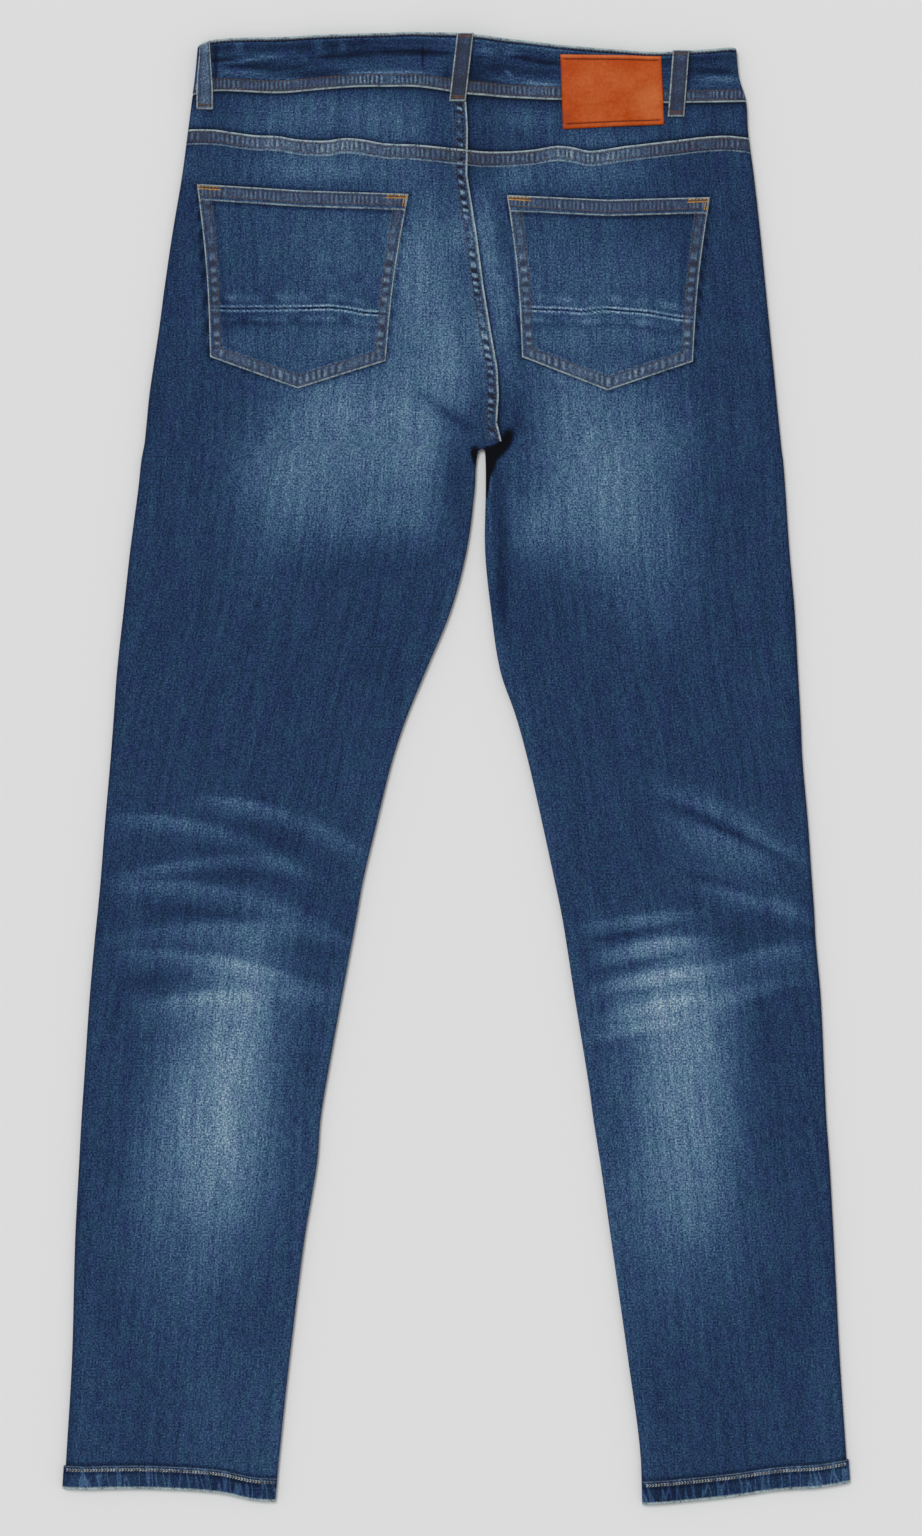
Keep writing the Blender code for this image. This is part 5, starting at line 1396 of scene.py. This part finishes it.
LOOP_WIDTH = 12.6
LOOP_THICK = 1.5
LOOP_END = 9.0  # how much of each end is turned under
LOOP_ROW = 4.4  # the two rows of stitches, off its middle
# A loop's two ends, how pale it is, how far its left top corner drops round the side of the waist
# and how narrow its top looks there.
Loop = namedtuple("Loop", "name x_top y_top x_bottom y_bottom pale drop narrow")
BACK_LOOPS = [Loop(*row) for row in (
    ("loop_back_left", -190.4, 553.6, -190.4, 501.0, 0.82, 6.0, 0.64),
    ("loop_back_centre", 7.5, 557.9, 1.5, 506.0, 0.24, 0.0, 1.0),
    ("loop_back_right", 171.3, 546.0, 167.5, 495.5, 0.34, 0.0, 1.0),
)]


def surface_of(*names):
    """Search tree of the pieces' surfaces, for laying the next piece on them."""
    gathered = bmesh.new()
    for name in names:
        gathered.from_mesh(bpy.data.objects[name].data)
    tree = BVHTree.FromBMesh(gathered)
    gathered.free()
    return tree


def lies_at(tree, x, y, spread=0.0, floor=0.0):
    """Height in millimetres of the cloth at a place and close round it."""
    best = floor
    for step_x, step_y in ((0, 0), (spread, 0), (-spread, 0), (0, spread), (0, -spread)):
        start = Vector(((x + step_x) * MM, (y + step_y) * MM, 60.0 * MM))
        hit = tree.ray_cast(start, Vector((0.0, 0.0, -1.0)))[0]
        if hit is not None:
            best = max(best, hit.z / MM)
        if spread == 0.0:
            break
    return best


def belt_loop(name, ends, lies, faded, face_down=False, drop=0.0, narrow=1.0):
    """A loop between two ends; lies gives the height of what it lies on."""
    x_top, y_top, x_bottom, y_bottom = ends
    length, half = y_top - y_bottom, LOOP_WIDTH / 2
    end_steps = [0.0, 0.1, 0.3, 0.6, 1.0, 1.6, 2.4, 3.4, 4.6, 5.8, 7.0, 8.0, 8.6, 9.2, 9.8, 10.6]
    steps = np.concatenate([end_steps, np.linspace(12.0, length - 12.0, 18)])
    offs = np.array([-half, -6.24, -6.0, -5.6, -5.1, -4.5, -3.6, -2.4, -1.2, 0.0])
    offs = np.concatenate([offs, -offs[-2::-1]])
    from_side, from_row = half - np.abs(offs), np.abs(offs) - LOOP_ROW
    rows = []
    for share in np.concatenate([steps, length - steps[15::-1]]) / length:
        near_top = 1.0 - float(ease(share / 0.8))
        x = x_top + (x_bottom - x_top) * share + offs * (1.0 - (1.0 - narrow) * near_top)
        y = y_top - length * share - drop * (0.5 - offs / LOOP_WIDTH) * (1.0 - share) ** 4
        from_end = min(share, 1.0 - share) * length
        base = max(lies(x[k], y[k]) for k in (0, 9, -1)) + 0.35
        base += 1.0 - float(ease((abs(share - 0.5) - 0.12) / 0.24))
        folded = 1.0 - float(ease((from_end - LOOP_END) / 1.0))
        crown = 0.22 * np.cos(offs / half * 1.4) - 0.24 * bell(from_row, 0.6)
        crown -= 0.3 * bell(from_end - 2.6, 1.0)
        thick = LOOP_THICK + 0.9 * folded
        high = base + 0.3 + (thick - 0.3 + crown) * turn(np.minimum(from_side, from_end), 0.8)
        low = np.full(x.shape, base)
        if face_down:
            high, low = np.maximum(2 * base + LOOP_THICK - high, 0.0), low + LOOP_THICK
        washed = faded - 0.25 * bell(from_row, 0.9) + 0.06 * folded
        washed += 0.12 * np.sin(share * 19.0) * np.sin(share * 7.0) - 0.18 * share
        rows.append(ClothRow(np.stack([x, y, high], -1), np.stack([x, y, low], -1), washed,
                             np.tile((6.0, 0.0, 0.5), (len(x), 1)),
                             np.minimum(from_side, from_end) - 0.1, np.stack([offs, y], -1)))
    return shell_of_rows(name, rows)


upper = surface_of("leg_back_left", "leg_back_right", "yoke_cloth_left", "yoke_cloth_right",
                   "waistband_cloth")
for loop in BACK_LOOPS:
    ends = (loop.x_top, loop.y_top, loop.x_bottom, loop.y_bottom)
    cloth = belt_loop(loop.name.replace("loop", "belt_loop"), ends,
                      lambda x, y: lies_at(upper, x, y, 3.0), loop.pale, False, loop.drop, loop.narrow)
    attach(cloth, "root")
    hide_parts(loop.name)
for name, x_mid in FRONT_LOOPS.items():
    ends = (x_mid, front_waist(x_mid, "top") - 1.0, x_mid, front_waist(x_mid, "bottom") - 8.0)
    cloth = belt_loop(name.replace("loop", "belt_loop"), ends, lambda x, y: -0.35, 0.4, True)
    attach(cloth, "root")
    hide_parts(name)

# ---------------------------------------------------------------------------------------------
# Leather patch. A bare rectangle of tan hide laid over the waistband and the yoke, and sewn down
# in a pressed channel along its top and its bottom.

PATCH_WIDE = 77.0
PATCH_TALL = 54.0
PATCH_THICK = 1.6
PATCH_CUT = 1.6  # how far each corner is rounded
PATCH_CORNERS = {"top_left": (79.5, 542.5), "top_right": (156.4, 541.4),
                 "bottom_left": (81.5, 485.6), "bottom_right": (158.6, 489.6)}
PATCH_GROOVE = 3.6


def hide(name):
    """Vegetable-tanned leather: burnt orange, mottled, finely pebbled and a little glossy."""
    finish, tree, shader = new_finish(name, Specular_IOR_Level=0.1)
    place = joined(tree, "ShaderNodeTexCoord").outputs["Object"]
    cloud = noise(tree, place, 3.0, 0.6, 55.0, "3D")
    fine = noise(tree, place, 2.0, 0.6, 420.0, "3D")
    pores = joined(tree, "ShaderNodeTexVoronoi", Vector=place, Scale=1400.0)
    tone = marked(tree, "washed")
    for blots, share in ((cloud, 0.3), (fine, 0.22)):
        tone = sums(tree, "MULTIPLY_ADD", sums(tree, "SUBTRACT", blots, 0.5), share, tone)
    shades = ramped(tree, tone, (0.0, 60, 20, 10), (0.3, 140, 48, 8), (0.5, 172, 66, 4),
                    (0.72, 192, 103, 56), (1.0, 226, 150, 112))
    tree.links.new(shades, shader.inputs["Base Color"])
    relief = sums(tree, "MULTIPLY_ADD", fine, 0.5, pores.outputs["Distance"])
    in_relief(tree, shader, relief, 0.25, 0.0003)
    roughened(tree, shader, cloud, 0.3, 0.7, 0.42, 0.58)
    return finish


def patch_edges(v):
    """Left and right edge of the patch, at a share of the way down it."""
    at = {key: np.array(value) for key, value in PATCH_CORNERS.items()}
    return (at["top_left"] * (1.0 - v) + at["bottom_left"] * v,
            at["top_right"] * (1.0 - v) + at["bottom_right"] * v)


end_steps = np.array([0.0, 0.1, 0.3, 0.6, 1.0, 1.6, 2.3, 2.9, 3.25, 3.6, 3.95, 4.3, 5.0, 6.0, 8.0])
downs = np.concatenate([end_steps, np.linspace(8.0, 46.0, 24)[1:-1], PATCH_TALL - end_steps[::-1]])
side_steps = np.array([0.0, 0.1, 0.3, 0.6, 1.0, 1.6, 2.6, 4.0, 6.0])
across = np.concatenate([side_steps, np.linspace(6.0, 71.0, 32)[1:-1], PATCH_WIDE - side_steps[::-1]])
u = across / PATCH_WIDE
near_side = np.minimum(across, PATCH_WIDE - across)
faces, reverses, tones = [], [], []
for down in downs:
    v = down / PATCH_TALL
    left, right = patch_edges(v)
    spots = left + (right - left) * u[:, None]
    base = np.array([lies_at(upper, x, y, 3.5) for x, y in spots]) + 0.35
    near_end = min(down, PATCH_TALL - down)
    beyond = np.hypot(np.maximum(PATCH_CUT - near_side, 0.0), max(PATCH_CUT - near_end, 0.0))
    in_corner = (near_side < PATCH_CUT) & (near_end < PATCH_CUT)
    edge = np.where(in_corner, np.clip(PATCH_CUT - beyond, 0.0, PATCH_CUT), np.minimum(near_side, near_end))
    groove = bell(near_end - PATCH_GROOVE, 0.42) * ease((near_side - 2.0) / 1.0)
    face = base + 0.3 + (PATCH_THICK - 0.3) * turn(edge, 0.9) - 0.5 * groove
    face += 0.45 * np.sin(np.pi * u) * math.sin(math.pi * v) - 0.2 * math.exp(-near_end / 2.0)
    faces.append(np.column_stack([spots, face]))
    reverses.append(np.column_stack([spots, base]))
    tone = 0.49 + 0.11 * v - 0.5 * groove - 0.1 * np.exp(-near_side / 1.2)
    # A painted highlight along the top edge, and darker along the bottom one.
    tone += 0.22 * bell(down - 1.2, 0.9) - 0.14 * math.exp(-(PATCH_TALL - down) / 1.0)
    # Painted shade in the lower-left corner, a painted highlight in the upper middle and a lighter place on
    # the right.
    tone -= 0.1 * bell(u - 0.04, 0.12) * bell(v - 0.86, 0.12)
    tone += 0.06 * bell(u - 0.55, 0.3) * bell(v - 0.3, 0.2)
    tone += 0.1 * bell(u - 0.9, 0.2) * bell(v - 0.58, 0.22)
    tones.append(tone)
faces = np.array(faces)
patch = cloth_shell("leather_patch", faces, np.array(reverses), {"washed": np.array(tones)},
                    faces[..., :2], [hide("hide"), hide("hide_reverse")])
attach(patch, "root")
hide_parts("patch")

# ---------------------------------------------------------------------------------------------
# Waist button. A stamped disc of aged metal with a rolled rim and a ribbed well, riveted through
# the left end of the waistband, its face to the table.

ButtonTurn = namedtuple("ButtonTurn", "radius z")
BUTTON_PROFILE = [ButtonTurn(*row) for row in (
    (0.0, 2.3), (6.8, 2.3), (7.7, 2.2), (8.3, 1.8), (8.5, 1.2), (8.4, 0.6), (8.0, 0.2), (7.5, 0.0),
    (7.0, 0.1), (6.6, 0.4), (6.3, 0.75), (5.6, 0.8), (5.2, 0.62), (4.8, 0.8), (3.2, 0.8), (2.9, 0.6),
    (2.2, 0.5), (0.0, 0.5))]


def aged_metal():
    finish, tree, shader = new_finish("aged_metal", Metallic=1.0)
    place = joined(tree, "ShaderNodeTexCoord").outputs["Object"]
    blots = noise(tree, place, 4.0, 0.65, 700.0, "3D")
    shades = ramped(tree, blots, (0.3, 96, 72, 52), (0.68, 186, 160, 132))
    tree.links.new(shades, shader.inputs["Base Color"])
    roughened(tree, shader, blots, 0.3, 0.7, 0.5, 0.28)
    in_relief(tree, shader, blots, 0.2, 0.0003)
    return finish


disc = bmesh.new()
points = [disc.verts.new((t.radius * MM, 0.0, t.z * MM)) for t in BUTTON_PROFILE]
sides = [disc.edges.new(pair) for pair in zip(points, points[1:])]
bmesh.ops.spin(disc, geom=points + sides, cent=(0, 0, 0), axis=(0, 0, 1), angle=math.tau, steps=64,
               use_merge=True)
bmesh.ops.remove_doubles(disc, verts=disc.verts, dist=1e-6)
bmesh.ops.recalc_face_normals(disc, faces=disc.faces)
button_y = float(on_band(front_waist, BUTTON_X, 0.5))
bmesh.ops.translate(disc, verts=disc.verts, vec=(BUTTON_X * MM, button_y * MM, 0.0))
button = placed("waist_button", disc)
button.data.materials.append(aged_metal())
button.data.shade_smooth()
button.data.set_sharp_from_angle(angle=math.radians(50.0))
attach(button, "root")
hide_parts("button")

# ---------------------------------------------------------------------------------------------
# Topstitching. Grey-brown core-spun thread in lockstitch rows beside every seam, a chain stitch
# round each hem and gold bars at the ends of the loops and the pocket mouths.

FLY_REACH = 34.0  # how far the fly's J of stitches stands from the centre front
Stitch = namedtuple("Stitch", "place along up length width")


def spun_thread(name, dark, light):
    """Thread of two shades, with its plies as fine slanting ribs."""
    finish, tree, shader = new_finish(name, Roughness=0.6, Sheen_Weight=0.2)
    place = joined(tree, "ShaderNodeTexCoord").outputs["Object"]
    shades = ramped(tree, noise(tree, place, 2.0, 0.7, 260.0, "3D"), (0.34, *dark), (0.66, *light))
    tree.links.new(shades, shader.inputs["Base Color"])
    plies = joined(tree, "ShaderNodeTexWave", {"wave_type": "BANDS", "bands_direction": "DIAGONAL"},
                   Vector=place, Scale=900.0)
    in_relief(tree, shader, plies.outputs["Fac"], 0.3, 0.0002)
    return finish


def sew(tree, path, pitch=2.9, length=2.2, width=1.0, slant=0.0, from_below=False):
    """Stitches at an even pitch along a line of x, y points, lying on the cloth under it."""
    path = np.asarray(path, float)
    steps = np.concatenate([[0.0], np.cumsum(np.hypot(*np.diff(path, axis=0).T))])
    count = max(1, int(steps[-1] / pitch))
    made = []
    way = Vector((0.0, 0.0, 1.0 if from_below else -1.0))
    for k in range(count):
        middle = (k + 0.5) * steps[-1] / count
        ends = []
        for at in (middle - length / 2, middle + length / 2):
            x, y = np.interp(at, steps, path[:, 0]), np.interp(at, steps, path[:, 1])
            hit = tree.ray_cast(Vector((x, y, 0.0)) * MM - way * 60.0 * MM, way)
            ends.append((hit[0], hit[1]))
        if ends[0][0] is None or ends[1][0] is None:
            continue
        along = ends[1][0] - ends[0][0]
        if abs(along.z) > 1.2 * MM:
            continue
        up = (ends[0][1] + ends[1][1]).normalized()
        along = Matrix.Rotation(slant, 3, up) @ along.normalized()
        made.append(Stitch((ends[0][0] + ends[1][0]) / 2, along, up, length, width))
    return made


def sewn(name, stitches, finish):
    """One joined mesh of small rounded stitches, each half sunk in the cloth."""
    thread = bmesh.new()
    for stitch in stitches:
        up = stitch.up - stitch.along * stitch.up.dot(stitch.along)
        up.normalize()
        side = up.cross(stitch.along)
        half_size = (0.52 * stitch.length * MM, 0.5 * stitch.width * MM, 0.4 * stitch.width * MM)
        ways = (stitch.along, side, up)
        frame_of = Matrix([way * half for way, half in zip(ways, half_size)]).transposed().to_4x4()
        frame_of.translation = stitch.place + up * 0.08 * MM
        bmesh.ops.create_icosphere(thread, subdivisions=1, radius=1.0, matrix=frame_of)
    piece = placed(name, thread)
    piece.data.materials.append(finish)
    piece.data.shade_smooth()
    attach(piece, "root")


def line_at(line, x_from, x_to, drop, step=2.0):
    x = np.linspace(x_from, x_to, int(abs(x_to - x_from) / step) + 2)
    return np.column_stack([x, line(x) + drop])


band_cloth = surface_of("waistband_cloth", "yoke_cloth_left", "yoke_cloth_right", "leg_back_left",
                        "leg_back_right")
pocket_cloth = surface_of("pocket_left_cloth", "pocket_right_cloth")
loop_cloth = surface_of("belt_loop_back_left", "belt_loop_back_centre", "belt_loop_back_right")
patch_cloth = surface_of("leather_patch")


def sew_pocket(pocket, u, v, *look):
    """Stitches at shares across and down a pocket."""
    x, y, _, _ = pocket_place(pocket, u, v)
    return sew(pocket_cloth, np.column_stack([x, y]), *look)


def bar(x, y):
    """One row of slanting stitches across the end of a belt loop."""
    return sew(loop_cloth, [(x - 5.6, y), (x + 5.6, y)], 0.7, 1.3, 0.6, 1.1)


brown = spun_thread("grey_brown_thread", (46, 40, 44), (108, 84, 72))
dulled = spun_thread("dulled_thread", (40, 42, 56), (84, 80, 88))
gold = spun_thread("gold_thread", (160, 110, 38), (218, 170, 84))
dull_gold = spun_thread("dull_gold_thread", (60, 40, 30), (128, 84, 46))
worn_thread = spun_thread("worn_thread", (52, 52, 62), (168, 174, 172))

top_row = sew(band_cloth, line_at(lambda x: waist_line(x, "top"), -184.0, 208.0, -2.5))
sewn("waist_edge_stitches", top_row, dulled)
rows = []
for drop in ROWS:
    rows += sew(band_cloth, line_at(lambda x: waist_line(x, "bottom"), -194.0, 214.0, drop))
for drop in ROWS:
    rows += sew(band_cloth, line_at(yoke_seam, -200.0, 218.0, -drop))
sewn("seam_stitches", rows, brown)
rows = []
seat_y = np.arange(250.0, 512.0, 2.0)
for inset in (2.9, 8.4):
    rows += sew(band_cloth, np.column_stack([seat_seam(seat_y) - inset, seat_y]))
sewn("seat_stitches", rows, dulled)

for inset, hem_row, thread, name in zip(POCKET_ROWS, POCKET_HEM_ROWS, (dulled, brown),
                                        ("pocket_edge_stitches", "pocket_stitches")):
    rows = []
    for pocket in POCKETS:
        wide, tall = pocket.x_tr - pocket.x_tl, pocket.y_top - pocket.y_tip
        v = np.linspace(1.5 / tall, 1.0 - inset / tall, 60)
        for u in (inset / wide, 1.0 - inset / wide):
            rows += sew_pocket(pocket, u, v, 2.7, 2.0)
        foot = 1.0 - inset / FOOT_SLOPE / tall
        rows += sew_pocket(pocket, np.linspace(inset / wide, 1.0 - inset / wide, 90), foot, 2.7, 2.0)
        rows += sew_pocket(pocket, np.linspace(0.01, 0.99, 90), hem_row / tall, 2.7, 2.0)
    sewn(name, rows, thread)

rows = []
for loop in BACK_LOOPS:
    for off in (-LOOP_ROW, LOOP_ROW):
        top_y = loop.y_top - 2.0 - loop.drop * (0.5 - off / LOOP_WIDTH)
        ends = [(loop.x_top + off * loop.narrow, top_y), (loop.x_bottom + off, loop.y_bottom + 3.0)]
        rows += sew(loop_cloth, ends, 2.6, 1.9, 0.8)
sewn("loop_stitches", rows, spun_thread("loop_thread", (20, 24, 38), (62, 58, 62)))

rows = []
for down in (PATCH_GROOVE, PATCH_TALL - PATCH_GROOVE):
    left, right = patch_edges(down / PATCH_TALL)
    rows += sew(patch_cloth, [left + (right - left) * share for share in (0.03, 0.97)], 2.8, 2.2, 0.7)
sewn("patch_stitches", rows, spun_thread("dark_thread", (52, 30, 24), (96, 58, 40)))

HEM_ENDS = {"left": (-296.0, -137.0), "right": (142.5, 297.0)}
rows = []
for side, ends in HEM_ENDS.items():
    leg = surface_of("leg_back_" + side)
    for drop, slant in ((-0.6, 0.5), (0.6, -0.5)):
        line = line_at(partial(hem_line, side), *ends, HEM_ROW + drop)
        rows += sew(leg, line, 2.2, 2.4, 1.1, slant)
sewn("hem_chain_stitches", rows, worn_thread)

rows, fillings = [], []
for pocket in POCKETS:
    wide, tall = pocket.x_tr - pocket.x_tl, pocket.y_top - pocket.y_tip
    for start, end in ((0.7, 18.0), (wide - 17.0, wide - 0.7)):
        u = np.linspace(start, end, 24) / wide
        for drop in (1.8, 4.2):
            rows += sew_pocket(pocket, u, drop / tall, 0.9, 1.5, 0.85, 0.3)
        fillings += sew_pocket(pocket, u, 3.0 / tall, 0.8, 2.2, 0.8, 1.3)
    for inset in (1.3, 3.0):
        v = np.linspace(2.5, 11.5, 12) / tall
        rows += sew_pocket(pocket, 1.0 - inset / wide, v, 0.9, 1.4, 0.85, 0.3)
for loop in BACK_LOOPS:
    for drop in (2.4, 3.6):
        fillings += bar(loop.x_bottom, loop.y_bottom + drop)
for loop in BACK_LOOPS[1:]:
    for drop in (2.2, 3.4):
        fillings += bar(loop.x_top, loop.y_top - drop)
sewn("gold_bartacks", rows, gold)
sewn("bartack_fillings", fillings, dull_gold)

under = surface_of("leg_front_left", "leg_front_right", "waistband_cloth", "scoop_facing_left",
                   "scoop_facing_right", "belt_loop_front_left", "belt_loop_front_right")
sew_under = partial(sew, under, from_below=True)
rows = []
for side, way in INWARD.items():
    y_side = SCOOP_FOOT[side] + SCOOP_HEIGHT * (1.0 - np.cos(np.linspace(0.12, 1.5, 60)))
    for inset in (1.8, 8.0):
        x = by_level(y_side, side + "_outer") + way * (scoop_in(side, y_side) + inset)
        rows += sew_under(np.column_stack([x, y_side - 0.3 * inset]))
    rows += sew_under(line_at(partial(hem_line, side), *HEM_ENDS[side], HEM_ROW), 2.3, 2.2, 1.0, 0.4)
fly_y = np.arange(FLY_FOOT + FLY_REACH, float(front_waist(-20.0, "bottom")) - 1.0, 2.0)
fly_turn = np.linspace(0.0, math.pi / 2, 20)
for inset in (0.0, 6.0):
    reach = FLY_REACH - inset
    turn_x = centre_front(fly_y[0]) - reach * np.cos(fly_turn)
    turn_y = fly_y[0] - reach * np.sin(fly_turn)
    x = centre_front(fly_y) - reach
    rows += sew_under(np.column_stack([np.r_[x[::-1], turn_x], np.r_[fly_y[::-1], turn_y]]))
rows += sew_under(np.column_stack([centre_front(fly_y) + FLY_LAP - 1.8, fly_y]))
for drop in ROWS:
    rows += sew_under(line_at(lambda x: front_waist(x, "bottom"), -188.0, 208.0, drop))
rows += sew_under(line_at(lambda x: front_waist(x, "top"), -186.0, 204.0, -3.2))
sewn("front_stitches", rows, brown)
